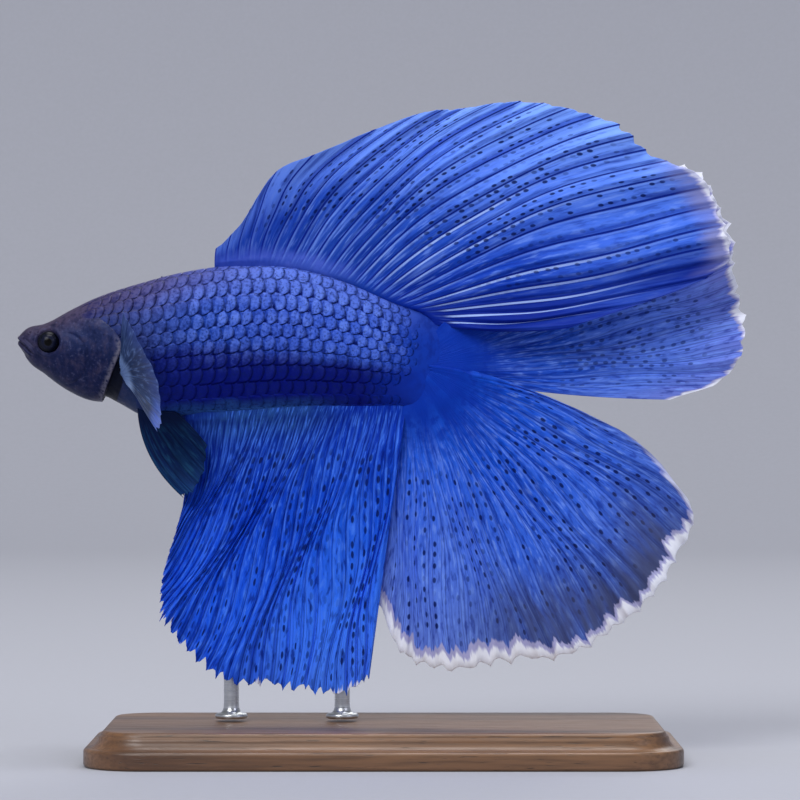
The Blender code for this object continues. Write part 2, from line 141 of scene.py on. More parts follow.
# A scale's form. Its length and slant are in steps along its row, and its half width in rows.
SCALE = {"length": 1.95, "ahead": 0.95, "slant": 0.09, "half_width": 0.61, "rounding": 0.30, "narrowing": 0.06}
SCALE_CHANCE = {"along": 0.06, "tilt": 0.05}  # how far a scale strays, in mm and in rows
FULL_STEP = 1.19  # a scale of this step or more has its full relief
SCALE_WALL, SCALE_CROWN, SCALE_ROOT = 0.05, 0.04, -0.02  # thickness, how far the middle swells, how deep the root is

# Where the mouth is in the frame, read from the eyes.
eye_low, eye_high = (np.array(corner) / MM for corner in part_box("eye_left"))
ORIGIN = (eye_low + eye_high) / 2 * (1, 0, 1) - (EYE["x"], 0, EYE["z"])

# Each ray of a fin on the middle plane: its place from 0 to 1 along the base, its tip's x and z, and the angle
# in degrees at which it leaves the body. A base is a stretch of x, or for the tail's lobes of degrees.
DORSAL_BASE = (19.4, 42.4)
DORSAL_RAYS = np.array(
    [
        (0.00, 19.5, 9.0, 90),
        (0.08, 22.2, 11.8, 88),
        (0.155, 26.2, 17.3, 84),
        (0.19, 29.0, 18.3, 81),
        (0.26, 37.7, 21.8, 72),
        (0.37, 44.4, 23.1, 62),
        (0.49, 52.1, 23.7, 56),
        (0.62, 60.0, 21.1, 48),
        (0.70, 63.2, 18.4, 42),
        (0.78, 68.2, 15.6, 33),
        (0.86, 70.2, 11.0, 16),
        (0.92, 70.4, 7.6, 4),
        (0.96, 65.6, 5.0, -3),
        (1.00, 54.2, 1.1, -9),
    ]
)
ANAL_BASE = (16.0, 38.3)
ANAL_RAYS = np.array(
    [
        (0.00, 16.6, -15.8, -84),
        (0.12, 15.2, -20.0, -92),
        (0.25, 13.6, -25.1, -100),
        (0.41, 14.5, -29.7, -106),
        (0.56, 19.5, -33.7, -110),
        (0.72, 25.4, -35.2, -108),
        (0.87, 31.0, -35.7, -103),
        (0.95, 33.6, -35.0, -99),
        (1.00, 34.7, -33.4, -98),
    ]
)
UPPER_BASE = (-22.0, 62.0)
UPPER_RAYS = np.array(
    [
        (0.00, 64.4, -5.9, -10),
        (0.06, 69.3, -4.4, -6),
        (0.13, 71.7, -2.2, -3),
        (0.21, 72.3, 0.4, 1),
        (0.36, 72.2, 5.2, 9),
        (0.50, 71.5, 9.9, 18),
        (0.65, 70.0, 15.0, 28),
        (0.76, 67.2, 17.7, 35),
        (0.87, 62.6, 17.2, 42),
        (1.00, 57.0, 14.5, 48),
    ]
)
LOWER_BASE = (-6.0, -118.0)
LOWER_RAYS = np.array(
    [
        (0.00, 53.4, -6.3, -12),
        (0.05, 60.6, -9.6, -13),
        (0.12, 66.3, -15.8, -19),
        (0.24, 65.4, -21.7, -31),
        (0.40, 60.8, -28.0, -46),
        (0.55, 54.6, -31.6, -58),
        (0.70, 47.2, -32.7, -70),
        (0.83, 41.2, -33.2, -81),
        (0.92, 37.6, -31.0, -89),
        (1.00, 35.4, -25.9, -95),
    ]
)
# The same for a pelvic fin, with the root's x before the tip.
PELVIC_RAYS = np.array(
    [
        (0.0, 11.9, 16.5, -15.6, -84),
        (0.4, 12.8, 17.7, -14.8, -70),
        (0.7, 14.2, 18.6, -12.7, -52),
        (1.0, 16.3, 18.8, -10.4, -44),
    ]
)
PELVIC_SPLAY = (0.95, 2.1)  # how far the root and the tip stand to the side
PECTORAL_BASE = {"x": 10.9, "z": -3.3, "height": 2.2, "slant": 0.35}
# Each ray of a pectoral fin: its place up the base, the degrees that it lifts and sweeps back, and its length.
PECTORAL_RAYS = np.array(
    [
        (0.0, -54, 44, 5.7),
        (0.25, -30, 29, 7.7),
        (0.5, -2, 21, 8.3),
        (0.75, 30, 7, 7.4),
        (1.0, 68, -6, 5.4),
    ]
)


# --- small tools --------------------------------------------------------------------------------


def through(table, at):
    """The columns of table as smooth curves over its first column: cubic spans that share slopes."""
    at = np.asarray(at, float)
    place, value = table[:, 0], table[:, 1:]
    slope = np.gradient(value, place, axis=0)
    low = np.clip(np.searchsorted(place, at, side="right") - 1, 0, len(place) - 2)
    width = (place[low + 1] - place[low])[..., None]
    t = (at[..., None] - place[low][..., None]) / width
    return (
        value[low] * (2 * t**3 - 3 * t**2 + 1)
        + value[low + 1] * (3 * t**2 - 2 * t**3)
        + slope[low] * width * (t**3 - 2 * t**2 + t)
        + slope[low + 1] * width * (t**3 - t**2)
    )


def eased(low, high, at):
    """0 below low, 1 above high, and a smooth step between. With low above high it steps up as at falls."""
    t = np.clip((at - low) / (high - low), 0, 1)
    return t * t * (3 - 2 * t)


def bump(distance, width):
    """A bell: 1 where distance is 0, and nearly 0 past two widths."""
    return np.exp(-((distance / width) ** 2))


def ridges(shapes, at):
    """The sum of bells, each given by its height, its place and its width. A groove's height is below 0."""
    return sum(height * bump(at - place, width) for height, place, width in shapes)


def within(edges, at):
    """Comes up from 0 to 1 between the first two edges, and goes down again between the last two."""
    return eased(*edges[:2], at) * (1 - eased(*edges[2:], at))


def linear(hex_colour):
    """An sRGB hex colour as linear red, green, blue and alpha."""
    value = int(hex_colour.lstrip("#"), 16)
    srgb = np.array([(value >> shift & 255) / 255 for shift in (16, 8, 0)])
    light = np.where(srgb <= 0.04045, srgb / 12.92, ((srgb + 0.055) / 1.055) ** 2.4)
    return (*light.tolist(), 1.0)


def cells(grid):
    """The four corners of each cell of grids laid on axes 1 and 2."""
    corners = [grid[:, :-1, :-1], grid[:, 1:, :-1], grid[:, 1:, 1:], grid[:, :-1, 1:]]
    stacked = np.stack(corners, 3)
    return stacked.reshape(-1, 4, *grid.shape[3:])


def tube(rows, columns):
    """Faces of rings laid one after another: the cells between them, and a fan at each end.

    The fans' middles are the two points that follow the rings."""
    numbers = np.arange(rows * columns).reshape(rows, columns)
    ring = np.concatenate([numbers, numbers[:, :1]], 1)
    first = np.stack([np.full(columns, rows * columns), ring[0, :-1], ring[0, 1:]], 1)
    last = np.stack([np.full(columns, rows * columns + 1), ring[-1, 1:], ring[-1, :-1]], 1)
    return [cells(ring[None]), first, last]


def flat_on(x, z):
    """Points on the middle plane."""
    return np.stack([x, np.zeros_like(x), z], -1)


def along_axis(axis, amount):
    """Steps along one axis of the frame."""
    return amount[..., None] * np.eye(3)[axis]


def normals(points):
    """Unit normals of grids on axes 1 and 2: the cross product of the steps down and across."""
    down = np.gradient(points, axis=1)
    across = np.gradient(points, axis=2)
    normal = np.cross(down, across)
    return normal / np.maximum(np.linalg.norm(normal, axis=-1, keepdims=True), 1e-9)


def add_piece(name, points, faces, material, slot, maps=None, values=None, replaced=()):
    """A mesh piece from points in the fish's frame and lists of faces with one size each.

    maps holds a UV map's corners by name, and values an attribute's numbers by name, one a point."""
    mesh = bpy.data.meshes.new(name)
    corners = np.concatenate([group.ravel() for group in faces])
    sizes = np.concatenate([np.full(len(group), group.shape[1]) for group in faces])
    mesh.vertices.add(len(points))
    mesh.vertices.foreach_set("co", ((points + ORIGIN) * MM).astype(np.float32).ravel())
    mesh.loops.add(len(corners))
    mesh.loops.foreach_set("vertex_index", corners.astype(np.int32))
    mesh.polygons.add(len(sizes))
    mesh.polygons.foreach_set("loop_start", (np.cumsum(sizes) - sizes).astype(np.int32))
    mesh.polygons.foreach_set("use_smooth", np.ones(len(sizes), bool))
    mesh.update(calc_edges=True)
    for map_name, places in (maps or {}).items():
        layer = mesh.uv_layers.new(name=map_name)
        layer.uv.foreach_set("vector", places.astype(np.float32).ravel())
    for value_name, numbers in (values or {}).items():
        attribute = mesh.attributes.new(value_name, "FLOAT", "POINT")
        attribute.data.foreach_set("value", numbers.astype(np.float32).ravel())
    mesh.materials.append(material)
    mesh.validate()
    piece = bpy.data.objects.new(name, mesh)
    bpy.context.scene.collection.objects.link(piece)
    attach(piece, "root")
    if replaced:
        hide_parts(*replaced)
    return piece


def leaves(front, back):
    """Closed leaves from two grids of points each that share their border.

    Returns the points, their faces, and a function that lays a grid of numbers out for the points."""
    count, rows, columns = front.shape[:3]
    inner = (rows - 2) * (columns - 2)
    stride = rows * columns + inner
    first = stride * np.arange(count)[:, None, None]
    near = first + np.arange(rows * columns).reshape(1, rows, columns)
    far = near.copy()
    far[:, 1:-1, 1:-1] = first + rows * columns + np.arange(inner).reshape(1, rows - 2, columns - 2)

    def lay_out(one, other):
        flat = one.reshape(count, rows * columns, -1)
        inside = other[:, 1:-1, 1:-1].reshape(count, inner, -1)
        return np.concatenate([flat, inside], 1).reshape(count * stride, -1)

    faces = np.concatenate([cells(near), cells(far)[:, ::-1]])
    return lay_out(front, back), faces, lay_out


# --- nodes --------------------------------------------------------------------------------------

# How some kinds of node are set wherever they are added, and the sums that a Math node does.
USUAL = {"Mix": {"data_type": "RGBA"}, "MapRange": {"interpolation_type": "SMOOTHSTEP"}}
PLUS, LESS, TIMES, TIMES_PLUS = ({"operation": word} for word in ("ADD", "SUBTRACT", "MULTIPLY", "MULTIPLY_ADD"))


def add_node(tree, kind, *values, out=0, stops=(), **settings):
    """Adds a node with its settings, its inputs' values or links in their own order, and a ramp's stops.

    Returns the output whose number is out."""
    node = tree.nodes.new("ShaderNode" + kind)
    for name, value in (USUAL.get(kind, {}) | settings).items():
        setattr(node, name, value)
    inputs, outputs = ([socket for socket in side if socket.enabled] for side in (node.inputs, node.outputs))
    for socket, value in zip(inputs, values):
        if isinstance(value, bpy.types.NodeSocket):
            tree.links.new(value, socket)
        elif value is not None:
            socket.default_value = value
    for number, (place, colour) in enumerate(stops):
        elements = node.color_ramp.elements
        element = elements[number] if number < len(elements) else elements.new(1.0)
        element.position = place
        element.color = linear(colour) if isinstance(colour, str) else colour
    return outputs[out]


def window(add, value, edges):
    """Two factors. One comes up between the first two edges, the other goes down between the last two."""
    return add("MapRange", value, *edges[:2]), add("MapRange", value, *edges[2:], 1.0, 0.0)


def coloured(add, ground, layers):
    """Lays colours over a ground in their order, each as strong as the product of its factors."""
    for tone, strength, *factors in layers:
        for factor in factors:
            strength = add("Math", strength, factor, **TIMES)
        ground = add("Mix", strength, ground, linear(tone) if isinstance(tone, str) else tone)
    return ground


def finish(name, build, **sockets):
    """A Principled material. build(add) returns the inputs that nodes drive, sockets are plain values."""
    made = bpy.data.materials.get(name)
    if made:
        return made
    made = bpy.data.materials.new(name)
    made.use_nodes = True
    shader = made.node_tree.nodes["Principled BSDF"]
    for key, value in sockets.items():
        shader.inputs[key.replace("_", " ")].default_value = value
    for key, socket in build(partial(add_node, made.node_tree)).items():
        made.node_tree.links.new(socket, shader.inputs[key])
    return made


# --- the body's surface -------------------------------------------------------------------------


def section(x):
    """Middle height, half depth and half width of the body at x, closed at the snout and the tail root.

    The tail root also thins to an edge, which the two lobes clasp."""
    back, belly, half_width = np.moveaxis(through(BODY, x), -1, 0)
    ahead = np.clip(1 - np.asarray(x) / SNOUT_ROUNDING, 0, 1)
    behind = np.clip((np.asarray(x) - ROUNDING_FROM) / (BODY_END - ROUNDING_FROM), 0, 1)
    closing = np.sqrt(1 - behind**2) * np.sqrt(1 - ahead**2)
    thinning = 1 - THINNING * eased(THINNING_FROM, BODY_END, x)
    return (back + belly) / 2, (back - belly) / 2 * closing, half_width * np.sqrt(closing) * thinning


def flank(x, z):
    """How far the body's side is from its middle plane at a point seen from the side."""
    middle, half_depth, half_width = section(x)
    share = np.clip((z - middle) / np.maximum(half_depth, 1e-6), -1, 1)
    return half_width * (1 - share**2) ** (SECTION_POWER / 2)


def around_body(x, s):
    """A point of the body. s is 0 on the back, 1 on the belly and 2 on the back again, by the right side.

    The section is an ellipse whose width carries a power, so that the back and the belly have a keel."""
    middle, half_depth, half_width = section(x)
    angle = math.pi * s + EVENING * np.sin(2 * math.pi * s)
    side = np.sin(angle)
    y = half_width * np.sign(side) * np.abs(side) ** SECTION_POWER
    return np.stack([x + 0 * s, y, middle + half_depth * np.cos(angle)], -1)


def gill_edge(z):
    """How far back the gill cover reaches at the height z: a rounded corner over a slanting lower edge."""
    above = GILL_CORNER_X - GILL_ROUNDING * np.maximum(z - GILL_CORNER_Z, 0) ** 2
    return above - GILL_SLANT * np.maximum(GILL_CORNER_Z - z, 0)


def from_middle(form, x, z):
    """How far a point is from the middle of an ellipse, which is 1 on its rim."""
    return np.hypot((x - form["x"]) / form["half"][0], (z - form["z"]) / form["half"][1])


def head_forms(x, z):
    """How far the head's forms stand out of the plain body at a point seen from the side.

    The mouth's forms follow its line: run is how far back along it, and over how far above it. Rings of
    bells make the eye's rim and the nostrils. The gill cover rises to its edge, with a cleft behind it."""
    run = x * math.cos(MOUTH_SLOPE) - z * math.sin(MOUTH_SLOPE)
    over = x * math.sin(MOUTH_SLOPE) + z * math.cos(MOUTH_SLOPE)
    lips = ridges(LIPS, over) * (1 - eased(MOUTH_LENGTH - 0.3, MOUTH_LENGTH + 0.2, run))
    folds = sum(ridges([shape], over) * within(edges, run) for shape, edges in MOUTH_FOLDS)

    from_eye = np.hypot(x - EYE["x"], z - EYE["z"])
    socket = -SOCKET["depth"] * (1 - eased(SOCKET["from"], SOCKET["to"], from_eye))
    nose = sum(ridges(NOSTRIL, np.hypot(x - nx, z - nz)) for nx, nz in NOSTRILS)
    cheek = CHEEK["height"] * bump(from_middle(CHEEK, x, z), 1.0)
    groove = CHEEK_GROOVE["height"] * bump(from_middle(CHEEK_GROOVE, x, z) - 1, 0.045) * eased(4.6, 5.6, x)
    brow = BROW["height"] * bump(z - EYE["z"] - BROW["over_eye"], 0.3) * bump(x - BROW["x"], 1.2)

    edge = gill_edge(z)
    plate = COVER_RISE * eased(edge - COVER_RUN[0], edge - COVER_RUN[1], x) * (x < edge)
    cleft_width = CLEFT["width"] + CLEFT["more_width_below"] * eased(-1.5, -3.5, z)
    cleft = -CLEFT["depth"] * bump(np.maximum(x - edge - 0.12, 0), cleft_width) * (x >= edge)
    cover = (plate + cleft) * (1 - eased(GILL_TOP - 1.2, GILL_TOP, z))
    return lips + folds + ridges(ORBIT, from_eye) + socket + nose + cheek + groove + brow + cover


def skin_rings():
    """Where the skin's rings stand along the body: crowded at the snout and through the head."""
    behind_cover = 11.6
    snout = SNOUT_ROUNDING * (1 - np.cos(np.linspace(0, math.pi / 2, 9)[1:]))
    head = np.linspace(SNOUT_ROUNDING, behind_cover, 130)[1:]
    trunk = np.linspace(behind_cover, ROUNDING_FROM, 90)[1:]
    root = ROUNDING_FROM + (BODY_END - ROUNDING_FROM) * np.sin(np.linspace(0, math.pi / 2, 16)[1:-1])
    return np.concatenate([snout, head, trunk, root])


def coat_depth(x, depth):
    """The skin lies under its scales by their depth. The head's skin is bare."""
    return depth * eased(BARE_TO, COAT_FROM, x)


def build_skin(settings):
    """The whole body's skin: rings of points set in by the coat's depth, then pushed by head_forms."""
    x = skin_rings()
    s = np.linspace(0, 2, settings.skin_columns, endpoint=False)
    points = around_body(x[:, None] + 0 * s, s + 0 * x[:, None])
    wrapped = np.concatenate([points[:, -1:], points, points[:, :1]], 1)
    outward = normals(wrapped[None])[0, :, 1:-1]
    push = head_forms(points[..., 0], points[..., 2]) - coat_depth(points[..., 0], settings.coat_depth / MM)
    points = points + outward * push[..., None]
    tip = points[0].mean(0) - (0.03, 0, 0)
    tail = np.array([BODY_END - settings.coat_depth / MM, 0, section(np.array(BODY_END))[0]])
    all_points = np.concatenate([points.reshape(-1, 3), tip[None], tail[None]])
    return add_piece(
        "body_skin",
        all_points,
        tube(len(x), len(s)),
        skin_finish(),
        "body_skin",
        values=body_values(all_points),
        replaced=("head", "lower_jaw", "gill_cover_left", "gill_cover_right", "trunk", "tail_stalk"),
    )


def body_values(points):
    """What the markings read at each point: along is in mm, and up runs from 0 on the belly to 1 on the back.

    gill is 0.5 at the gill cover's edge, and rises by a quarter for each mm behind it."""
    x, z = points[..., 0], points[..., 2]
    back, belly, _ = np.moveaxis(through(BODY, np.clip(x, 0, BODY_END)), -1, 0)
    up = np.clip((z - belly) / (back - belly), 0, 1)
    return {"along": x, "up": up, "gill": np.clip((x - gill_edge(z)) / 4 + 0.5, 0, 1)}


# --- the scales ---------------------------------------------------------------------------------


def scale_places(settings):
    """Where each scale of the right side grows: x, s, the step to the next scale, and its row's number.

    Rows run along the body, every other one half a step back. Steps shorten by a share towards the nape and
    the tail root."""
    rows, pitch = settings.scale_rows, settings.scale_pitch / MM
    places = []
    for row in range(rows):
        s = (row + 0.5) / rows
        z = around_body(np.array(14.0), np.array(s))[2]
        behind = COAT_BEHIND_GILL + sum(more * eased(high, low, z) for more, high, low in COAT_OFF_BREAST)
        start = COAT_ON_NAPE if z > GILL_TOP else gill_edge(z) + behind
        x = start + pitch * (0.5 * (row % 2) - 0.2 * row / rows)
        while x < SCALES_END:
            step = pitch * (1 - 0.38 * eased(30, 43, x)) * (1 - 0.25 * (1 - eased(8, 14, x)))
            places.append((x, s, step, row))
            x += step
    return np.array(places)


def scale_relief(x, s, step):
    """The share of its full relief that each scale has, and the share by which it has sunk at the tail root.

    It is less on the back, at the nape, in the dark band low on the flank, and where scales are short."""
    sunk = 0.92 * eased(31, SCALES_END - 0.5, x)
    back, nape = 0.45 + 0.55 * eased(0.03, 0.2, s), 0.45 + 0.55 * eased(8, 19, x)
    band = 1 - 0.85 * bump(s - 0.79, 0.16) * eased(13, 18, x)
    return np.clip(step / FULL_STEP, 0.5, 1) * (1 - sunk) * back * nape * band, sunk


def build_scales(settings, side, name):
    """Overlapping plates on one side. Each is a grid bent onto the body, raised towards its rear edge.

    p runs from 0 at the root to 1 at the rear edge, and q from -1 to 1 across. The rear edge is an arc, the
    plate is crowned between its edges, and it is as thick all over but for a thin rim."""
    rng = np.random.default_rng(5)
    places = scale_places(settings)
    places[:, 0] += rng.normal(0, SCALE_CHANCE["along"], len(places))
    x0, s0, step = (places[:, i][:, None, None] for i in range(3))
    p = np.linspace(0, 1, settings.scale_points)[None, :, None]
    q = np.linspace(-1, 1, settings.scale_points + 1)[None, None, :]
    row_width = 1 / settings.scale_rows
    arc = 1 - SCALE["rounding"] * (1 - np.sqrt(1 - 0.97 * q**2))
    along = x0 - SCALE["ahead"] * step + SCALE["length"] * step * p * arc - SCALE["slant"] * step * q
    across = s0 + SCALE["half_width"] * row_width * q * (1 - SCALE["narrowing"] * p**3) + 0 * p
    tilt = rng.normal(0, SCALE_CHANCE["tilt"], len(places))[:, None, None]
    across = across + row_width * tilt * (p - 0.5)
    along = np.clip(along, 0.5, BODY_END - 0.02)
    base = around_body(along, np.clip(across, 0.002, 0.998))
    outward = normals(base)
    depth = settings.coat_depth / MM
    relief, sunk = scale_relief(x0, s0, step)
    crown = SCALE_CROWN * (1 - q**2) * np.sin(math.pi * p)
    rise = (SCALE_ROOT + (depth + SCALE_ROOT) * p + crown) * relief - 0.006 * sunk
    wall = SCALE_WALL * (1 - q**8) * (1 - p**10) * (1 - (1 - p) ** 10) + 0.004
    ground = base - outward * coat_depth(along, depth)[..., None]
    front = ground + outward * rise[..., None]
    back = ground + outward * (rise - wall)[..., None]
    points, faces, lay_out = leaves(front, back)
    values = body_values(points)
    # Each scale's own strength of the painted highlight on its face.
    highlight_strength = rng.random(len(places))[:, None, None] + 0 * rise
    values["highlight_strength"] = lay_out(highlight_strength, highlight_strength)
    plate = np.stack([p + 0 * q + 0 * x0, (q + 1) / 2 + 0 * p + 0 * x0], -1)
    corners = np.concatenate([cells(plate), cells(plate)[:, ::-1]])
    maps = {"OFBake": bake_patches(places, plate, settings), "Plate": corners}
    if side < 0:
        points, faces = points * (1, -1, 1), faces[:, ::-1]
        maps = {key: value[:, ::-1] for key, value in maps.items()}
    return add_piece(name, points, [faces], scale_finish(), "body_skin", maps, values)


def bake_patches(places, plate, settings):
    """Each scale's two faces side by side at the place of its root on the unrolled flank.

    A scale has the cell from its own root to the next one's, as high as its row, and its outer face has more
    of that cell than its inner one."""
    rows, unrolled = settings.scale_rows, BODY_END + 2
    corner = np.stack([(places[:, 0] + 0.5) / unrolled, places[:, 3] / rows], -1)[:, None, None, :]
    size = np.stack([places[:, 2] / unrolled, np.full(len(places), 1 / rows)], -1)[:, None, None, :]
    near = corner + size * (plate * (0.56, 0.9) + (0.02, 0.05))
    far = corner + size * (plate * (0.32, 0.9) + (0.64, 0.05))
    return np.concatenate([cells(near), cells(far)[:, ::-1]])


# --- fins ---------------------------------------------------------------------------------------


def in_plane(angle_degrees):
    """The direction at an angle on the middle plane: 0 points back to the tail, and 90 points up."""
    angle = np.radians(angle_degrees)
    return flat_on(np.cos(angle), np.sin(angle))


def along_body(base, edge):
    """Roots in a line along the back (edge 1) or the belly (edge -1), a gap off the body's height there."""

    def root(u):
        x = base[0] + (base[1] - base[0]) * u
        middle, half_depth, _ = section(x)
        return flat_on(x, middle + edge * (half_depth + GAP))

    return root


def round_tail_root(base):
    """Roots round the end of the tail root, and past a right angle forward along the belly.

    x is on an arc about where the rounding starts, and z is that angle's sine times half the body's height."""

    def root(u):
        degrees = base[0] + (base[1] - base[0]) * u
        past = np.maximum(np.abs(degrees) - 90, 0)
        angle = np.radians(np.clip(degrees, -90, 90))
        x = ROUNDING_FROM + (BODY_END - ROUNDING_FROM + GAP) * np.cos(angle) - RUN_PER_DEGREE * past
        back, belly, _ = np.moveaxis(through(BODY, np.minimum(x, BODY_END)), -1, 0)
        return flat_on(x, (back + belly) / 2 + ((back - belly) / 2 + GAP) * np.sin(angle))

    return root


# A fold is how far to the right a fin's middle surface goes at u along its base and t out along its rays: a lean,
# and waves that grow from nothing at the root.


def dorsal_fold(u, t):
    """It leans to the left towards the rear, with nine pleats, and its last rays bunch where they leave the body."""
    lean = eased(0.35, 1.0, u)
    pleats = 0.42 * t * np.sin(2 * math.pi * 9 * u) * eased(0.0, 0.2, u)
    bundle = 0.16 * eased(0.62, 0.9, u) * bump(t - 0.4, 0.35) * np.sin(2 * math.pi * 27 * u)
    return -(0.5 + 3.0 * t) * lean + pleats + bundle


def anal_fold(u, t):
    """Broad waves with fine creases over them, and the rear edge to the left of the tail's lower lobe."""
    waves = 0.38 * t * np.sin(2 * math.pi * (4.5 * u + 0.1)) * (1 - 0.6 * eased(0.75, 1.0, u))
    creases = 0.10 * t * np.sin(2 * math.pi * 15 * u + 3 * t)
    return -0.35 * t - 0.5 * eased(0.7, 0.95, u) + waves + creases


def upper_fold(u, t):
    """It leans to the right, behind the dorsal fin, with four waves."""
    lean = 0.5 + 2.0 * t * eased(0.0, 0.45, u)
    return lean + 0.4 * t * np.sin(2 * math.pi * 4 * u) * eased(0.0, 0.12, u)


def lower_fold(u, t):
    """Broad waves, the upper edge to the left of the other lobe and the front edge to the right of the anal fin."""
    waves = 0.5 * t * np.sin(2 * math.pi * (4.5 * u + 0.25)) * eased(0.0, 0.12, u) * eased(0.0, 0.15, 1 - u)
    return waves - 0.5 * eased(0.0, 0.2, 0.2 - u) + 0.6 * eased(0.7, 0.9, u)


def median_curves(rays, root, fold):
    """A fin on the middle plane as four functions: its rays' roots, aims and tips over u, and its fold over u and t."""

    def tip(u):
        x, z, _ = np.moveaxis(through(rays, u), -1, 0)
        return flat_on(x, z)

    return root, lambda u: in_plane(through(rays, u)[..., 2]), tip, lambda u, t: along_axis(1, fold(u, t))


def pelvic_curves(side):
    """The same four for a pelvic fin. Its root follows the belly, which drops as an ellipse to the side."""

    def root(u):
        x = through(PELVIC_RAYS, u)[..., 0]
        middle, half_depth, half_width = section(x)
        y = np.full_like(x, PELVIC_SPLAY[0])
        drop = half_depth * np.sqrt(1 - (y / half_width) ** 2)
        return np.stack([x, side * y, middle - drop - GAP], -1)

    def tip(u):
        _, x, z, _ = np.moveaxis(through(PELVIC_RAYS, u), -1, 0)
        return np.stack([x, np.full_like(x, side * PELVIC_SPLAY[1]), z], -1)

    def fold(u, t):
        return along_axis(1, side * 0.25 * t * np.sin(2 * math.pi * u))

    return root, lambda u: in_plane(through(PELVIC_RAYS, u)[..., 3]), tip, fold


def pectoral_curves(side):
    """The same four for a pectoral fin: a slanted root on the flank, and rays that lift and sweep by an angle.

    It is cupped, and bends back by the square of how far out along its rays a point is."""

    def root(u):
        rise = (u - 0.5) * PECTORAL_BASE["height"]
        x = PECTORAL_BASE["x"] - rise * PECTORAL_BASE["slant"]
        z = PECTORAL_BASE["z"] + rise
        return np.stack([x, side * (flank(x, z) + GAP + FIN_THICKNESS / 2), z], -1)

    def aim(u):
        lift, sweep, _ = np.moveaxis(np.radians(through(PECTORAL_RAYS, u)), -1, 0)
        level = np.cos(lift)
        return np.stack([level * np.sin(sweep), side * level * np.cos(sweep), np.sin(lift)], -1)

    def tip(u):
        return root(u) + aim(u) * through(PECTORAL_RAYS, u)[..., 2:3]

    def fold(u, t):
        return along_axis(0, 0.5 * t**2 + 0 * u)

    return root, aim, tip, fold


def beside_ray(rank, t, branching):
    """How far a point is from the nearest ray, in steps between rays, and below 0 ahead of it.

    A ray forks at each height in branching: its two arms part until all arms are evenly spaced."""
    beside = rank - np.round(rank)
    spread = 0.25
    for height in branching:
        arm = spread * eased(height, height + 0.3, t)
        beside = np.where(beside < 0, -1, 1) * (np.abs(beside) - arm)
        spread /= 2
    return beside


def fin_grid(plan, curves, count, settings):
    """Where a leaf's points lie on its fan of rays, with chance from ray to ray.

    rank counts the rays, u runs from 0 to 1 along the base and t out along a ray, below 0 within the body. The
    outermost cells are narrow, where the two faces meet. The web falls short of the rays' tips by teeth, deepest
    half way between two rays. steady is less than 1 on short rays, which are folded less."""
    root, _, tip, _ = curves
    rng = np.random.default_rng(plan["seed"])
    share = np.linspace(0, 1, count * settings.per_ray + 1)
    share[[1, -2]] = share[[0, -1]] + (0.0004, -0.0004)
    rank, u = share * count, share + plan["spread"] * share * (1 - share)
    rows = np.linspace(0, 1, plan.get("rows", settings.rows) + 1)
    out = rows**0.9
    out[-2] = 0.9985
    length = np.linalg.norm(tip(u) - root(u), axis=-1)
    inside = plan["inside"] / length
    t = -inside + (1 + inside) * out[:, None]
    fine, broad = (np.interp(rank / step, np.arange(count + 2), rng.random(count + 2)) for step in (1, 1.7))
    ragged = np.interp(rank * 4, np.arange(count * 4 + 2), rng.random(count * 4 + 2))
    between = (np.abs(rank - np.round(rank)) * 2) ** 0.7
    away = eased(0.0, 0.02, u) * eased(0.0, 0.02, 1 - u)
    teeth = np.interp(u, *np.array(plan["teeth"]).T)
    t = t * (1 - teeth * (between * (0.4 + 0.8 * fine) + broad + 0.8 * ragged) * away / length)
    steady = np.clip(length / length.max() / 0.45, 0, 1)
    return SimpleNamespace(
        share=share, rank=rank, u=u, rows=rows, t=t, length=length, fine=fine, broad=broad, away=away, steady=steady
    )


def fan_surface(plan, curves, grid, count):
    """The middle surface: a ray is a quadratic curve from its root to its tip.

    The curve's third point lies half the ray's length out from the root, the way the ray leaves the body. A
    sine makes the rays waver in their plane. The fold and a pleat for each ray push them to the side."""
    root, aim, tip, fold = curves
    u, t, bend = grid.u, grid.t, grid.t[..., None]
    waver = np.sin(2 * math.pi * (1.3 * t + 4 * u)) * np.sin(math.pi * np.clip(t, 0, 1)) * grid.away * grid.steady
    wavy = np.clip(u + plan["waver"] / count * waver, 0, 1)
    start, end = root(wavy), tip(wavy)
    middle = start + aim(wavy) * np.linalg.norm(end - start, axis=-1, keepdims=True) * 0.5
    surface = (1 - bend) ** 2 * start + 2 * bend * (1 - bend) * middle + bend**2 * end
    leaving = plan["leave"] + (1 - plan["leave"]) * eased(0, 0.14, bend)
    surface = surface + fold(u + 0 * t, np.maximum(t, 0)) * leaving
    turn = 2 * math.pi * grid.rank + 1.5 * grid.broad
    pleat = plan["pleat"] * (np.sin(turn) + 0.3 * np.sin(2 * turn + 0.8)) * eased(0.03, 0.4, t)
    surface[..., 1] += pleat * (0.5 + grid.fine) * grid.steady
    return surface


# What the paint reads off a fin at each point: how much it is on a ray, on a fork and beside a ray where a painted
# highlight goes, how far out it is from 0 to 1 and from the rim in mm, and the millimetres from ray to ray.
FIN_VALUES = ("ray", "fork", "glint", "reach", "rim", "spacing")


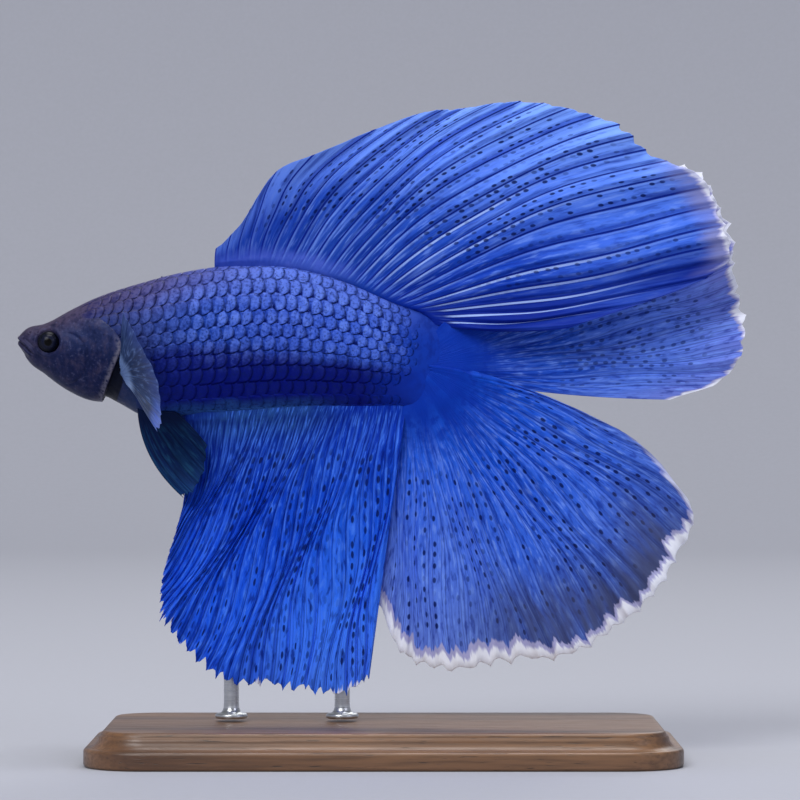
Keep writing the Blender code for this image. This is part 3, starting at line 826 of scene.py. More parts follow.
def fin_relief(plan, grid, surface):
    """Half the leaf's thickness, and what the paint reads at each point.

    Rays and their forks are bells across the web. The root swells to meet the body, and the leaf thins to
    its rim and its two edges. spacing is from ray to ray in mm, and glint is a bell beside each ray, for a painted
    highlight on its lit side."""
    rank, t, u = grid.rank, grid.t, grid.u
    spacing = np.linalg.norm(np.gradient(surface, axis=1) / np.gradient(rank)[:, None], axis=-1)
    width = plan["ray"] + 0.02 * spacing
    beside = (rank - np.round(rank)) * spacing
    ray = bump(beside, width)
    fork = bump(beside_ray(rank + 0 * t, t, plan["branching"]) * spacing, 0.8 * width)
    fork = fork * eased(plan["branching"][0], plan["branching"][0] + 0.1, t)
    from_body = np.maximum(t, 0) * grid.length
    swell, fading = plan["swell"]
    raised = np.maximum(ray, 0.6 * fork) * eased(0, plan["smooth"], from_body)
    half = plan["half"] * (0.55 + 0.9 * raised) + np.interp(u, *np.array(swell).T) * np.exp(-from_body / fading)
    half = half * (1 - 0.5 * np.clip(t, 0, 1)) * (0.2 + 0.8 * eased(0, 0.03, u) * eased(0, 0.03, 1 - u))
    glint, rim = bump(beside - 2.4 * width, 1.1 * width), (1 - t / t[-1]) * grid.length
    return half, dict(zip(FIN_VALUES, (ray, fork, glint, np.clip(t, 0, 1), rim, spacing)))


def build_fin(name, curves, count, plan, settings, painted):
    """A fin as one closed leaf: its middle surface, set off to either side along its normals."""
    plan = FIN_USUAL | plan
    grid = fin_grid(plan, curves, count, settings)
    surface = fan_surface(plan, curves, grid, count)[None]
    half, values = fin_relief(plan, grid, surface[0])
    apart = normals(surface) * half[None, ..., None]
    points, faces, lay_out = leaves(surface + apart, surface - apart)
    values = {key: lay_out(number[None], number[None]) for key, number in values.items()}
    place = np.stack([grid.rank + 0 * grid.t, grid.t * grid.length], -1)[None]
    flat = np.stack([grid.share + 0 * grid.t, grid.rows[:, None] + 0 * grid.u], -1)[None]
    near, far = flat * (0.98, 0.47) + 0.01, flat * (0.98, 0.47) + (0.01, 0.52)
    maps = {
        "OFBake": np.concatenate([cells(near), cells(far)[:, ::-1]]),
        "Rays": np.concatenate([cells(place), cells(place)[:, ::-1]]),
    }
    return add_piece(name + "_web", points, [faces], painted, plan["slot"], maps, values, replaced=(name,))


# --- the eyes and the stand ---------------------------------------------------------------------


def revolved(profile, centre, axis, turn):
    """A closed form turned about an axis: profile holds radius and height, from one pole to the other.

    A point is the axis's own height, and the radius times the cosine and the sine of the turn across it."""
    angle = np.linspace(0, 2 * math.pi, turn, endpoint=False)
    radius, height = profile[1:-1, 0][:, None], profile[1:-1, 1][:, None] + 0 * angle
    across = (radius * np.cos(angle), radius * np.sin(angle))
    order = {"y": (across[0], height, across[1]), "z": (across[0], across[1], height)}[axis]
    rings = np.stack(order, -1) + centre
    poles = np.zeros((2, 3))
    poles[:, "xyz".index(axis)] = profile[[0, -1], 1]
    faces = tube(len(rings), turn)
    if (axis == "z") != (profile[0, 1] > profile[-1, 1]):
        faces = [group[:, ::-1] for group in faces]
    return np.concatenate([rings.reshape(-1, 3), poles + centre]), faces


def eye_profile():
    """A flattened ball with a cornea: a low dome, half an ellipse, that stands on its outer side over the iris."""
    angle = np.linspace(0, math.pi, 65)
    radius = EYE["radius"] * np.sin(angle)
    height = EYE["depth"] * np.cos(angle)
    dome = CORNEA["height"] * np.sqrt(np.clip(1 - (radius / CORNEA["radius"]) ** 2, 0, 1)) * (height > 0)
    return np.stack([radius, height - CORNEA["height"] + dome], -1)


def build_eye(side, name):
    """One eyeball set in its socket, so that only the front of it shows within the rim."""
    x, z = EYE["x"], EYE["z"]
    centre = np.array([x, side * (flank(x, z) + EYE["proud"] - EYE["depth"]), z])
    points, faces = revolved(eye_profile() * (1, side), centre, "y", 64)
    values = {"off_axis": np.hypot(points[:, 0] - x, points[:, 2] - z)}
    return add_piece("ball_of_" + name, points, faces, eye_finish(), "eye", values=values, replaced=(name,))


def rounded_outline(length, width, corner, per_corner):
    """A rectangle's outline with round corners, and the direction in which each point faces.

    Each corner is a quarter circle about its own middle."""
    quarter = np.linspace(0, math.pi / 2, per_corner)
    angle = np.concatenate([quarter + k * math.pi / 2 for k in range(4)])
    middle = np.array([(1, 1), (-1, 1), (-1, -1), (1, -1)]) * (length / 2 - corner, width / 2 - corner)
    out = np.stack([np.cos(angle), np.sin(angle)], -1)
    return np.repeat(middle, per_corner, 0) + corner * out, out


def build_base(settings):
    """A block with a moulded edge: each point of a profile insets the rounded outline and lifts it.

    Quarter circles make the profile: a round foot, a lip, a hollow cove over it, and a round crown. Level rings
    lead from it to the middle above and below."""
    low, high = (np.array(corner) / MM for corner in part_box("stand_base"))
    size, middle = high - low, (high + low) / 2
    edge, cove, crown = 0.35, 1.1, 0.45
    crown_from, level_from, level_to = 1.7, 2.4, 5.9
    lip_top = size[2] * 0.52
    quarter = np.linspace(0, math.pi / 2, 9)
    sine, rest = np.sin(quarter), 1 - np.cos(quarter)
    profile = np.concatenate(
        [
            np.stack([np.linspace(level_to, 0.6, 8), np.zeros(8)], -1),
            np.stack([edge * (1 - sine), edge * rest], -1),
            np.stack([edge * rest, lip_top + edge * (sine - 1)], -1),
            np.stack([edge + cove * sine, lip_top + cove * rest], -1)[1:],
            np.stack([crown_from + crown * rest, size[2] + crown * (sine - 1)], -1),
            np.stack([np.linspace(level_from, level_to, 8), np.full(8, size[2])], -1),
        ]
    )
    outline, out = rounded_outline(size[0], size[1], 6.0, 14)
    rings = outline[None] - out[None] * profile[:, :1][:, None]
    lift = np.broadcast_to(profile[:, 1][:, None, None], (*rings.shape[:2], 1))
    points = np.concatenate([rings + middle[:2], lift + low[2]], -1).reshape(-1, 3) - ORIGIN
    around = np.arange(len(outline))[None]
    faces = [tube(*rings.shape[:2])[0][:, ::-1], around + (len(profile) - 1) * len(outline), around[:, ::-1]]
    return add_piece("stand_block", points, faces, walnut_finish(settings), "walnut", replaced=("stand_base",))


def build_rod(node, name, settings):
    """A turned rod on a foot: the profile steps in from the foot, curves up to the rod and rounds its end."""
    low, high = (np.array(corner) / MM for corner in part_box(node))
    x, y = (low[:2] + high[:2]) / 2
    foot, rod = (high[0] - low[0]) / 2, settings.rod_radius / MM
    height = high[2] - low[2]
    profile = np.array(
        [
            (0, 0), (foot - 0.1, 0), (foot, 0.08), (foot, 0.36), (foot - 0.12, 0.5), (rod + 0.45, 0.5),
            (rod + 0.28, 0.58), (rod + 0.12, 0.78), (rod + 0.02, 1.1), (rod, 1.5), (rod, height * 0.5),
            (rod, height - 0.3), (rod - 0.06, height - 0.05), (rod - 0.15, height), (0, height),
        ]
    )  # fmt: skip
    points, faces = revolved(profile, np.array([x, y, low[2]]) - ORIGIN, "z", 40)
    return add_piece(name, points, faces, steel_finish(settings), "steel", replaced=(node,))


# --- finishes -----------------------------------------------------------------------------------

# The fins take on the body's own colours where they leave it: the tail's lobes, and the front of the anal fin.
ROOT_BLUE, STRIP_BLUE = "#0933a8", "#28508f"


def mottle(add, size_mm, detail=3.0, stretch=(1, 1, 1)):
    """Noise whose patches are size_mm across, on Object coordinates."""
    scale = tuple(part / (size_mm * MM) for part in stretch)
    return add("TexNoise", add("Mapping", add("TexCoord", out=3), None, None, scale), 1.0, detail, 0.55)


def body_colour(add, along, up):
    """The body's colours: ramps along the back, the flank and the belly, with places in mm, mixed by height.

    Deep blue flanks carry a nearly black blue band low down, and the head and nape are purple grey. Noise
    shifts the borders by up to a millimetre, and a paler strip runs along the belly."""
    settings = bpy.context.scene.betta_body
    patches = add("Math", mottle(add, 2.6), 0.5, **LESS)
    along = add("Math", patches, 2.4, along, **TIMES_PLUS)
    up = add("Math", patches, 0.10, up, **TIMES_PLUS)
    end = 44.0
    ramps = (
        [
            (0, "#3b3446"), (4, "#40374e"), (9, "#443c5e"), (14, "#4a4678"), (20, "#4553a4"),
            (26, settings.back_colour), (36, "#4c68cc"), (40, "#2242a8"), (end, ROOT_BLUE),
        ],
        [
            (0, "#363148"), (3, "#232443"), (6, "#162148"), (10, "#283058"), (13, "#2f3f80"), (18, "#2144a6"),
            (26, settings.flank_colour), (34, "#3458ca"), (39, "#1038a6"), (end, ROOT_BLUE),
        ],
        [
            (0, "#2c2a42"), (4, "#161d40"), (8.5, "#141b40"), (11.5, "#1e2e54"), (14.5, "#0f1a76"),
            (20, settings.band_colour), (34, settings.band_colour), (40, ROOT_BLUE), (end, ROOT_BLUE),
        ],
    )  # fmt: skip
    share = add("Math", along, end, operation="DIVIDE")
    shares = ([(place / end, tone) for place, tone in stops] for stops in ramps)
    back, flanks, belly = (add("ValToRGB", share, stops=stops) for stops in shares)
    low_edge = add("MapRange", along, 14, 30, 0.42, 0.31)
    colour = add("Mix", add("MapRange", up, low_edge, add("Math", low_edge, 0.13, **PLUS)), belly, flanks)
    strip = add("MapRange", up, 0.04, 0.12, 0.8, 0.0), *window(add, along, (12, 17, 26, 34))
    return coloured(add, colour, ((back, add("MapRange", up, 0.66, 0.95)), (STRIP_BLUE, *strip)))


def skin_finish():
    """Cast resin under hand paint and varnish: a satin film in which fine pores and soft mottling show,
    darker and smoother about the mouth, with a pale edge to the gill cover and a nearly black painted shadow in the gap
    behind it."""

    def build(add):
        along, up, gill = (add("Attribute", attribute_name=name, out=2) for name in ("along", "up", "gill"))
        fine, flecks = mottle(add, 0.3, 4.0), mottle(add, 0.8, 5.0, (1.3, 1, 0.8))
        on_head = add("MapRange", along, 9, 13, 1.0, 0.0)
        on_tail = add("MapRange", along, 37, 41)
        low = add("MapRange", up, 0.50, 0.62, 1.0, 0.0)
        behind = add("Math", add("MapRange", up, 0.16, 0.52, 0.34, 0.03), 0.5, **PLUS)
        # How far the painted shadow in the gap behind the gill cover's edge reaches, further back low down.
        gill_shadow = add("MapRange", gill, behind, add("Math", behind, 0.05, **PLUS), 1.0, 0.0)
        pale_edge = add("MapRange", gill, 0.32, 0.44), add("MapRange", gill, 0.485, 0.50, 0.85, 0.0)
        layers = (
            ("#443c50", add("MapRange", flecks, 0.46, 0.72, 0.0, 0.45), on_head),
            ("#0a1230", add("MapRange", flecks, 0.30, 0.50, 0.6, 0.0), on_head),
            ("#4c5070", add("MapRange", fine, 0.56, 0.70, 0.0, 0.4), on_head),
            ("#082484", add("MapRange", flecks, 0.34, 0.56, 0.6, 0.0), on_tail),
            ("#080f28", add("MapRange", fine, 0.30, 0.50, 0.5, 0.0), on_head),
            ("#6a6776", *pale_edge, low, add("MapRange", fine, 0.3, 0.6)),
            # A painted shadow: nearly black in the gap behind the gill cover, low on the head.
            ("#03040c", add("MapRange", gill, 0.49, 0.51), gill_shadow, low),
        )
        place = add("TexCoord", out=3)
        pores = add("TexVoronoi", place, 1 / (0.55 * MM), feature="SMOOTH_F1")
        pores = add("Math", pores, add("MapRange", along, 2.5, 6.0), **TIMES)
        height = add("Math", pores, -1.0, add("Math", fine, 0.35, **TIMES), **TIMES_PLUS)
        return {
            "Base Color": coloured(add, body_colour(add, along, up), layers),
            "Roughness": add("MapRange", fine, 0.25, 0.75, 0.34, 0.52),
            "Normal": add("Bump", 0.6, 0.07 * MM, None, height),
        }

    return finish("varnished_painted_skin", build, Specular_IOR_Level=0.3, Specular_Tint=linear("#8e9cd8"))


def scale_finish():
    """Resin plates under pearl paint and varnish: each has a painted highlight that rounds its face, a painted
    shadow along the lower part of its rear edge as under light from above, and its own small shift of highlight."""

    def build(add):
        along, up, highlight_strength = (add("Attribute", attribute_name=name, out=2) for name in ("along", "up", "highlight_strength"))
        plate = add("UVMap", uv_map="Plate")
        rise, across = (add("SeparateXYZ", plate, out=axis) for axis in (0, 1))
        side = add("Math", add("Math", across, 0.5, **LESS), 2.08, **TIMES)
        front = add("Math", add("Math", rise, 0.78, **LESS), 4.0, **TIMES)
        ring = add("Math", side, side, add("Math", front, front, **TIMES), **TIMES_PLUS)
        fine, flecks = mottle(add, 0.25, 4.0), mottle(add, 0.7, 3.0)
        seen = (
            add("MapRange", up, 0.24, 0.55, 0.04, 1.0),
            add("MapRange", up, 0.80, 0.98, 1.0, 0.2),
            add("MapRange", along, 35, 41, 1.0, 0.0),
        )
        past_nape = add("MapRange", along, 10, 22, 0.12, 1.0)
        colour = body_colour(add, along, up)
        # light is a painted highlight on each scale's face, and shade a painted shadow for its lower rear edge.
        light = add("Mix", 1.0, colour, linear("#728efa"), blend_type="SCREEN")
        shade = add("Mix", 1.0, colour, linear("#203070"), blend_type="MULTIPLY")
        # The first layer is the painted shadow along the lower half of each rim, the second the painted highlight in
        # its middle.
        layers = (
            (shade, add("MapRange", ring, 0.72, 1.2), add("MapRange", across, 0.35, 0.75, 0.2, 1.0), past_nape, *seen),
            (
                light, add("MapRange", ring, 0.5, 1.1, 1.0, 0.0), add("MapRange", highlight_strength, 0.0, 1.0, 0.22, 0.6),
                add("MapRange", flecks, 0.3, 0.7, 0.3, 1.0), add("MapRange", along, 10, 21, 0.1, 0.9), *seen,
            ),
            ("#101c58", add("MapRange", fine, 0.32, 0.52, 0.7, 0.0)),
            ("#5f80ea", add("MapRange", fine, 0.52, 0.72, 0.0, 0.5), past_nape, *seen),
            ("#141648", add("MapRange", flecks, 0.35, 0.5, 0.6, 0.0), add("MapRange", along, 12, 19, 1.0, 0.0)),
        )  # fmt: skip
        return {
            "Base Color": coloured(add, colour, layers),
            "Roughness": add("MapRange", fine, 0.25, 0.75, 0.30, 0.50),
            "Normal": add("Bump", 0.5, 0.02 * MM, None, fine),
        }

    return finish("pearly_painted_scales", build, Specular_IOR_Level=0.25, Specular_Tint=linear("#5f84ff"))


def drawn_out(add, place, per_ray, length, seed, detail=2.0):
    """Noise drawn out along the rays: per_ray patches from ray to ray, each length mm long. seed moves it."""
    return add("TexNoise", add("Mapping", place, (seed, seed, 0), None, (per_ray, 1 / length, 1)), 1.0, detail)


def root_patch(add, look, at, streaks):
    """The body's colour where a fin leaves it, blotched, with a veined outer edge."""
    veined = add("Math", streaks(3.0, 3.0, 71.0), -1.0, at.out, **TIMES_PLUS)
    blotches = add("MapRange", mottle(add, 0.9, 4.0), 0.34, 0.60, 1.0, look["root_even"])
    fading = add("MapRange", veined, *look["root"], 0.9, 0.0)
    return look["root_colour"], fading, blotches, *window(add, at.share, look["root_share"])


def crest_highlights(add, look, at, streaks):
    """Painted highlights along the crests of folds beside some rays near the root, more of them on the last rays."""
    last = add("MapRange", at.share, 0.80, 0.92, 0.0, 0.2)
    some = add("MapRange", add("Math", streaks(1.3, 30.0, 57.0), last, **PLUS), 0.44, 0.58)
    crest = add("MapRange", at.glint, 0.2, 0.6, 0.0, look["crest"])
    windows = *window(add, at.share, look["crest_share"]), *window(add, at.reach, look["crest_reach"])
    return "#a9c3fb", crest, some, *windows


def dashes(add, look, at):
    """Dark ovals in rows between the rays. A row has its own start, and an oval its own shift and strength.

    Each is where the squares of the distances across and along from its middle sum to less than 1."""
    lane = add("Math", at.rank, look["dash_rows"], **TIMES)
    row = add("Math", lane, operation="FLOOR")
    chance = add("TexWhiteNoise", row, noise_dimensions="1D")
    beat = add("Math", chance, 7.0, add("Math", at.out, look["dash_pitch"], operation="DIVIDE"), **TIMES_PLUS)
    number = add("Math", beat, operation="FLOOR")
    luck = add("TexWhiteNoise", add("CombineXYZ", row, number), noise_dimensions="3D")
    across = add("Math", add("Math", add("Math", lane, row, **LESS), 0.5, **LESS), at.spacing, **TIMES)
    across = add("Math", across, 2 / look["dash_rows"] / look["dash_width"], **TIMES)
    along = add("Math", luck, 0.5, add("Math", add("Math", beat, number, **LESS), 0.75, **LESS), **TIMES_PLUS)
    along = add("Math", along, 2 * look["dash_pitch"] / look["dash_length"], **TIMES)
    oval = add("Math", across, across, add("Math", along, along, **TIMES), **TIMES_PLUS)
    picked = add("MapRange", luck, 0.2, 0.55), add("MapRange", chance, 0.1, 0.4)
    windows = *window(add, at.share, look["dash_share"]), *window(add, at.reach, look["dash_reach"])
    return "#050c4a", add("MapRange", oval, 0.5, 1.6, look["dash"], 0.0), *picked, *windows


def torn_rim(add, look, at, streaks):
    """A dusky band inside the rim, a veil and a pale border, whose inner edges noise tears along the rays."""
    ragged = add("Math", streaks(4.0, 8.0, 37.0), 0.7, streaks(0.6, 6.0, 31.0), **TIMES_PLUS)
    torn = add("Math", add("Math", ragged, 0.85, **LESS), look["torn"], at.rim, **TIMES_PLUS)
    patchy = add("MapRange", streaks(1.1, 8.0, 67.0), 0.3, 0.6, 0.35, 1.0)
    width = add("MapRange", at.share, *look["rim_turn"], *look["rim_width"])
    inner, dusk_end = add("Math", width, 0.7, **TIMES), add("Math", width, look["dusk_width"], **PLUS)
    veil_start, pale_start = add("Math", width, 0.3, **LESS), add("Math", inner, 0.5, **LESS)
    dusk, pale = window(add, at.share, look["dusk_share"]), window(add, at.share, look["pale_share"])
    return [
        (look["dusk_colour"], add("MapRange", torn, width, dusk_end, look["dusk"], 0.0), patchy, *dusk),
        (look["veil_colour"], add("MapRange", torn, veil_start, width, look["pale"], 0.0), *pale),
        (look["pale_colour"], add("MapRange", torn, pale_start, inner, look["pale"], 0.0), *pale),
    ]


def fin_finish(name, count, look):
    """Thin cast resin under airbrushed paint and varnish: a satin leaf whose rays catch the light."""

    def build(add):
        rays = add("UVMap", uv_map="Rays")
        at = SimpleNamespace(**{each: add("Attribute", attribute_name=each, out=2) for each in FIN_VALUES})
        at.rank, at.out = (add("SeparateXYZ", rays, out=axis) for axis in (0, 1))
        at.share = add("Math", at.rank, float(count), operation="DIVIDE")
        drift = add("TexNoise", add("Mapping", rays, (5, 5, 0), None, (0.35, 0.2, 1)), 1.0, 1.0)
        drift = add("CombineXYZ", add("Math", drift, look["drift"], **TIMES))
        streaks = partial(drawn_out, add, add("VectorMath", rays, drift, operation="ADD"))

        uneven = add("Math", add("Math", streaks(0.35, 14.0, 3.0), 0.5, **LESS), 0.3, at.reach, **TIMES_PLUS)
        front, rear = (add("ValToRGB", uneven, stops=look[end]) for end in ("front", "rear"))
        colour = add("Mix", add("MapRange", at.share, *look["turn"]), front, rear)
        clear, soft = (add("MapRange", at.out, *look[key]) for key in ("clear", "soft"))
        fine, grain = streaks(1.9, 8.0, 11.0, 3.0), streaks(*look["grain_size"], 43.0, 3.0)
        strength = add("MapRange", streaks(0.9, 9.0, 23.0), 0.3, 0.6, 0.4, 1.0)
        glow, deep = look["glow_colour"], look["deep"]
        layers = [
            (glow, add("MapRange", fine, 0.50, 0.78, 0.0, look["glow"]), soft),
            (deep, add("MapRange", fine, 0.24, 0.48, look["shadow"], 0.0), soft),
            (glow, add("MapRange", grain, 0.52, 0.70, 0.0, look["grain"]), soft),
            (deep, add("MapRange", grain, 0.32, 0.48, look["grain"], 0.0), soft),
            # A painted highlight on the lit side of each ray.
            (glow, at.glint, strength, clear, look["glint"]),
            (deep, add("MapRange", at.fork, 0.3, 0.8), strength, clear, look["fork"]),
            (deep, add("MapRange", at.ray, *look["line_edge"]), clear, look["line"]),
        ]
        if look["root_colour"]:
            layers.insert(len(layers) if look["root_over"] else 0, root_patch(add, look, at, streaks))
        if look["lead"]:
            layers.append((deep, add("MapRange", at.share, *look["lead_share"], look["lead"], 0.0)))
        # hollow is painted shade in the depths of the folds between the last rays, where they bunch.
        if look["hollow"]:
            uneven = add("MapRange", streaks(0.8, 12.0, 83.0), 0.3, 0.6, 0.7, 1.0)
            windows = *window(add, at.share, look["hollow_share"]), *window(add, at.reach, look["hollow_reach"])
            layers.append((deep, uneven, look["hollow"], *windows))
        # Painted highlights on fold crests beside some rays.
        if look["crest"]:
            layers.append(crest_highlights(add, look, at, streaks))
        if look["dash"]:
            layers.append(dashes(add, look, at))
        if look["torn"]:
            layers += torn_rim(add, look, at, streaks)
        relief = add("Math", streaks(7.0, 6.0, 41.0), 0.4, add("Math", grain, 0.5, fine, **TIMES_PLUS), **TIMES_PLUS)
        return {
            "Base Color": coloured(add, colour, layers),
            "Roughness": add("MapRange", fine, 0.3, 0.7, 0.42, 0.60),
            "Normal": add("Bump", 0.6, 0.10 * MM, None, relief),
        }

    return finish(name, build, Specular_IOR_Level=0.3, Specular_Tint=linear("#6f9cff"))


def eye_finish():
    """Cast glass over a painted iris: nearly black, with a soft window of light on its wet dome."""

    def build(add):
        off_axis = add("Attribute", attribute_name="off_axis", out=2)
        stops = [
            (0.0, "#020203"), (0.36, "#020203"), (0.39, "#24242e"), (0.43, "#12162a"), (0.55, "#101428"),
            (0.72, "#0b0e20"), (0.80, "#070912"), (1.0, "#05060c"),
        ]  # fmt: skip
        layers = (
            ("#1a2038", add("MapRange", mottle(add, 0.12, 4.0), 0.45, 0.7, 0.0, 0.6)),
            ("#020203", add("MapRange", off_axis, 0.35, 0.38, 1.0, 0.0)),
        )
        return {"Base Color": coloured(add, add("ValToRGB", off_axis, stops=stops), layers)}

    return finish("glass_eye", build, Roughness=0.28, Specular_IOR_Level=0.12)


def walnut_finish(settings):
    """Walnut, planed, moulded and oiled: warm brown with darker growth lines about 2 mm apart that run
    along the block, fine fibres and open pores drawn a little coarser than real to show."""

    def build(add):
        warp = mottle(add, 16.0, 2.0, (0.18, 1, 1))
        scaled = add("Mapping", add("TexCoord", out=3), None, (0.25, 0, 0.02), (4, 190, 320))
        across = add("SeparateXYZ", scaled, out=1)
        rings = add("Math", add("Math", warp, 5.0, across, **TIMES_PLUS), 1.0, operation="PINGPONG")
        stops = [(0.0, settings.wood_colour), (0.5, "#6e4d34"), (0.85, "#543826"), (1.0, "#482f1f")]
        fibre, pores = mottle(add, 0.35, 4.0, (0.05, 1, 1)), mottle(add, 0.22, 2.0, (0.08, 1, 1))
        pit = add("MapRange", pores, 0.62, 0.72)
        layers = (
            ("#8a6545", add("MapRange", mottle(add, 5.0, 2.0, (0.1, 1, 1)), 0.45, 0.7, 0.0, 0.45)),
            ("#2f1d12", add("MapRange", fibre, 0.35, 0.75, 0.0, 0.5)),
            ("#1c110a", pit, 0.6),
        )
        return {
            "Base Color": coloured(add, add("ValToRGB", rings, stops=stops), layers),
            "Roughness": add("MapRange", fibre, 0.3, 0.8, 0.34, 0.52),
            "Normal": add("Bump", 0.5, 0.03 * MM, None, add("Math", fibre, pit, **LESS)),
        }

    return finish("oiled_walnut", build, Coat_Weight=0.15, Coat_Roughness=0.3)


def steel_finish(settings):
    """Stainless steel, turned and brushed: fine lines round the rod spread each highlight up and down it.
    The lines are drawn coarser than real to show."""

    def build(add):
        brushed = mottle(add, 0.12, 3.0, (0.02, 0.02, 1))
        colour = add("ValToRGB", brushed, stops=[(0.3, "#b4b7bb"), (0.7, settings.steel_colour)])
        return {
            "Base Color": colour,
            "Roughness": add("MapRange", brushed, 0.3, 0.7, 0.26, 0.38),
            "Normal": add("Bump", 0.3, 0.004 * MM, None, brushed),
        }

    return finish("brushed_steel", build, Metallic=1.0)


def paper_finish(settings):
    """Matt background paper on a roll: an even pale grey with a faint tooth and no shine."""

    def build(add):
        tooth = mottle(add, 1.2, 4.0)
        darker = tuple(0.96 * part for part in settings.paper_colour)
        colour = add("ValToRGB", tooth, stops=[(0.3, (*darker[:3], 1.0)), (0.7, settings.paper_colour)])
        return {"Base Color": colour, "Roughness": add("MapRange", tooth, 0.2, 0.8, 0.85, 0.95)}

    return finish("background_paper", build)


# How each fin is painted, over share from its front to its rear, reach from its root to its rim, and out in mm
# from the body. front and rear are ramps over reach, and turn is where the first gives way to the second. soft is
# where the streaks come up and clear where the lines do: glow and shadow on broad streaks, grain on fine ones,
# glint as a painted highlight beside a ray, line on it and fork on its branches. root paints the body's colour over
# or under them, lead darkens the front edge, hollow paints shade in the depths between the last rays, and crest paints
# highlights on fold crests beside rays. dash is for the dark ovals, and torn, dusk, veil and pale for the rim, whose
# width goes from one number of mm to another over rim_turn. A key that ends in _share or _reach is a window: where
# its effect comes up, from and to, and where it goes down again. This one never goes down:
EVERYWHERE = (-2.0, -1.0, 2.0, 3.0)
DORSAL_LOOK = {
    "front": [(0.0, "#173a9c"), (0.3, "#214cba"), (0.6, "#638ffe"), (1.0, "#7aa4ff")],
    "rear": [(0.0, "#08289a"), (0.3, "#1440b6"), (0.6, "#3c68dc"), (0.85, "#416ee2"), (1.0, "#4a66c8")],
    "turn": (0.50, 0.84), "clear": (-0.6, 0.5), "soft": (-0.6, 0.5), "drift": 0.3,
    "glow": 0.4, "glow_colour": "#7a9ff6", "shadow": 0.45, "deep": "#061c86", "grain": 0.45,
    "grain_size": (5.0, 2.5), "line": 0.95, "line_edge": (0.08, 0.5), "fork": 0.25, "glint": 0.6,
    "root": (0.0, 1.1), "root_colour": "#4156b8", "root_over": True, "root_even": 0.6,
    "root_share": (-2.0, -1.0, 0.35, 0.6), "lead": 0.55, "lead_share": (0.06, 0.36),
    "hollow": 0.95, "hollow_share": (0.80, 0.90, 2.0, 3.0), "hollow_reach": (-0.2, 0.1, 0.95, 1.5),
    "crest": 0.85, "crest_share": (0.42, 0.65, 2.0, 3.0), "crest_reach": (0.02, 0.07, 0.4, 0.8),
    "dash": 0.9, "dash_rows": 2.0, "dash_pitch": 1.0, "dash_width": 0.36, "dash_length": 0.5,
    "dash_reach": (0.15, 0.3, 0.86, 0.95), "dash_share": (0.1, 0.16, 0.78, 0.9),
    "torn": 3.0, "rim_turn": (0.0, 1.0), "rim_width": (0.8, 0.8),
    "dusk": 0.95, "dusk_colour": "#8286bc", "dusk_width": 2.8, "dusk_share": (0.64, 0.72, 0.87, 0.92),
    "pale": 0.8, "veil_colour": "#a9a8d2", "pale_colour": "#f0f2fb", "pale_share": (0.64, 0.74, 0.86, 0.91),
}  # fmt: skip
TAIL_LOOK = DORSAL_LOOK | {
    "clear": (1.5, 7.5), "soft": (0.5, 6.0), "drift": 0.5, "glow": 0.35, "shadow": 0.4, "grain": 0.6,
    "grain_size": (5.0, 1.6), "line": 0.45, "line_edge": (0.3, 0.75), "fork": 0.4, "glint": 0.35,
    "root": (0.5, 8.0), "root_colour": "#0c32a6", "root_share": EVERYWHERE, "root_even": 0.1,
    "lead": 0.0, "hollow": 0.0, "crest": 0.0, "pale_share": EVERYWHERE,
}  # fmt: skip
UPPER_LOOK = TAIL_LOOK | {
    "front": [(0.0, ROOT_BLUE), (0.35, "#2857ca"), (0.7, "#5c80e6"), (1.0, "#7484dc")],
    "rear": [(0.0, ROOT_BLUE), (0.35, "#3262d8"), (0.7, "#84a2ff"), (1.0, "#969ce0")],
    "dash": 0.6, "dash_reach": (0.3, 0.4, 0.8, 0.9), "dash_share": (0.0, 0.1, 0.8, 1.0),
    "torn": 2.6, "rim_turn": (0.2, 0.8), "rim_width": (0.8, 1.0), "pale": 0.95,
    "dusk": 0.75, "dusk_colour": "#8c8cd0", "dusk_width": 3.4, "dusk_share": (0.3, 0.6, 2.0, 3.0),
}  # fmt: skip
LOWER_LOOK = TAIL_LOOK | {
    "front": [(0.0, ROOT_BLUE), (0.2, "#1654d4"), (0.55, "#3666dc"), (0.85, "#4468cc"), (1.0, "#4c62b0")],
    "rear": [(0.0, ROOT_BLUE), (0.22, "#2e68e8"), (0.6, "#557ce8"), (0.85, "#6280dc"), (1.0, "#6c80d2")],
    "dash_rows": 1.5, "dash_pitch": 1.2, "dash_width": 0.34, "dash_length": 0.55,
    "dash_reach": (0.2, 0.28, 0.88, 0.96), "dash_share": (0.0, 0.06, 0.94, 1.0),
    "torn": 3.2, "rim_turn": (0.35, 0.75), "rim_width": (1.3, 2.1), "pale": 1.0, "pale_share": (0.02, 0.2, 2.0, 3.0),
    "dusk": 0.95, "dusk_colour": "#454a6a", "dusk_width": 9.5, "dusk_share": (0.10, 0.26, 0.55, 0.82),
}  # fmt: skip
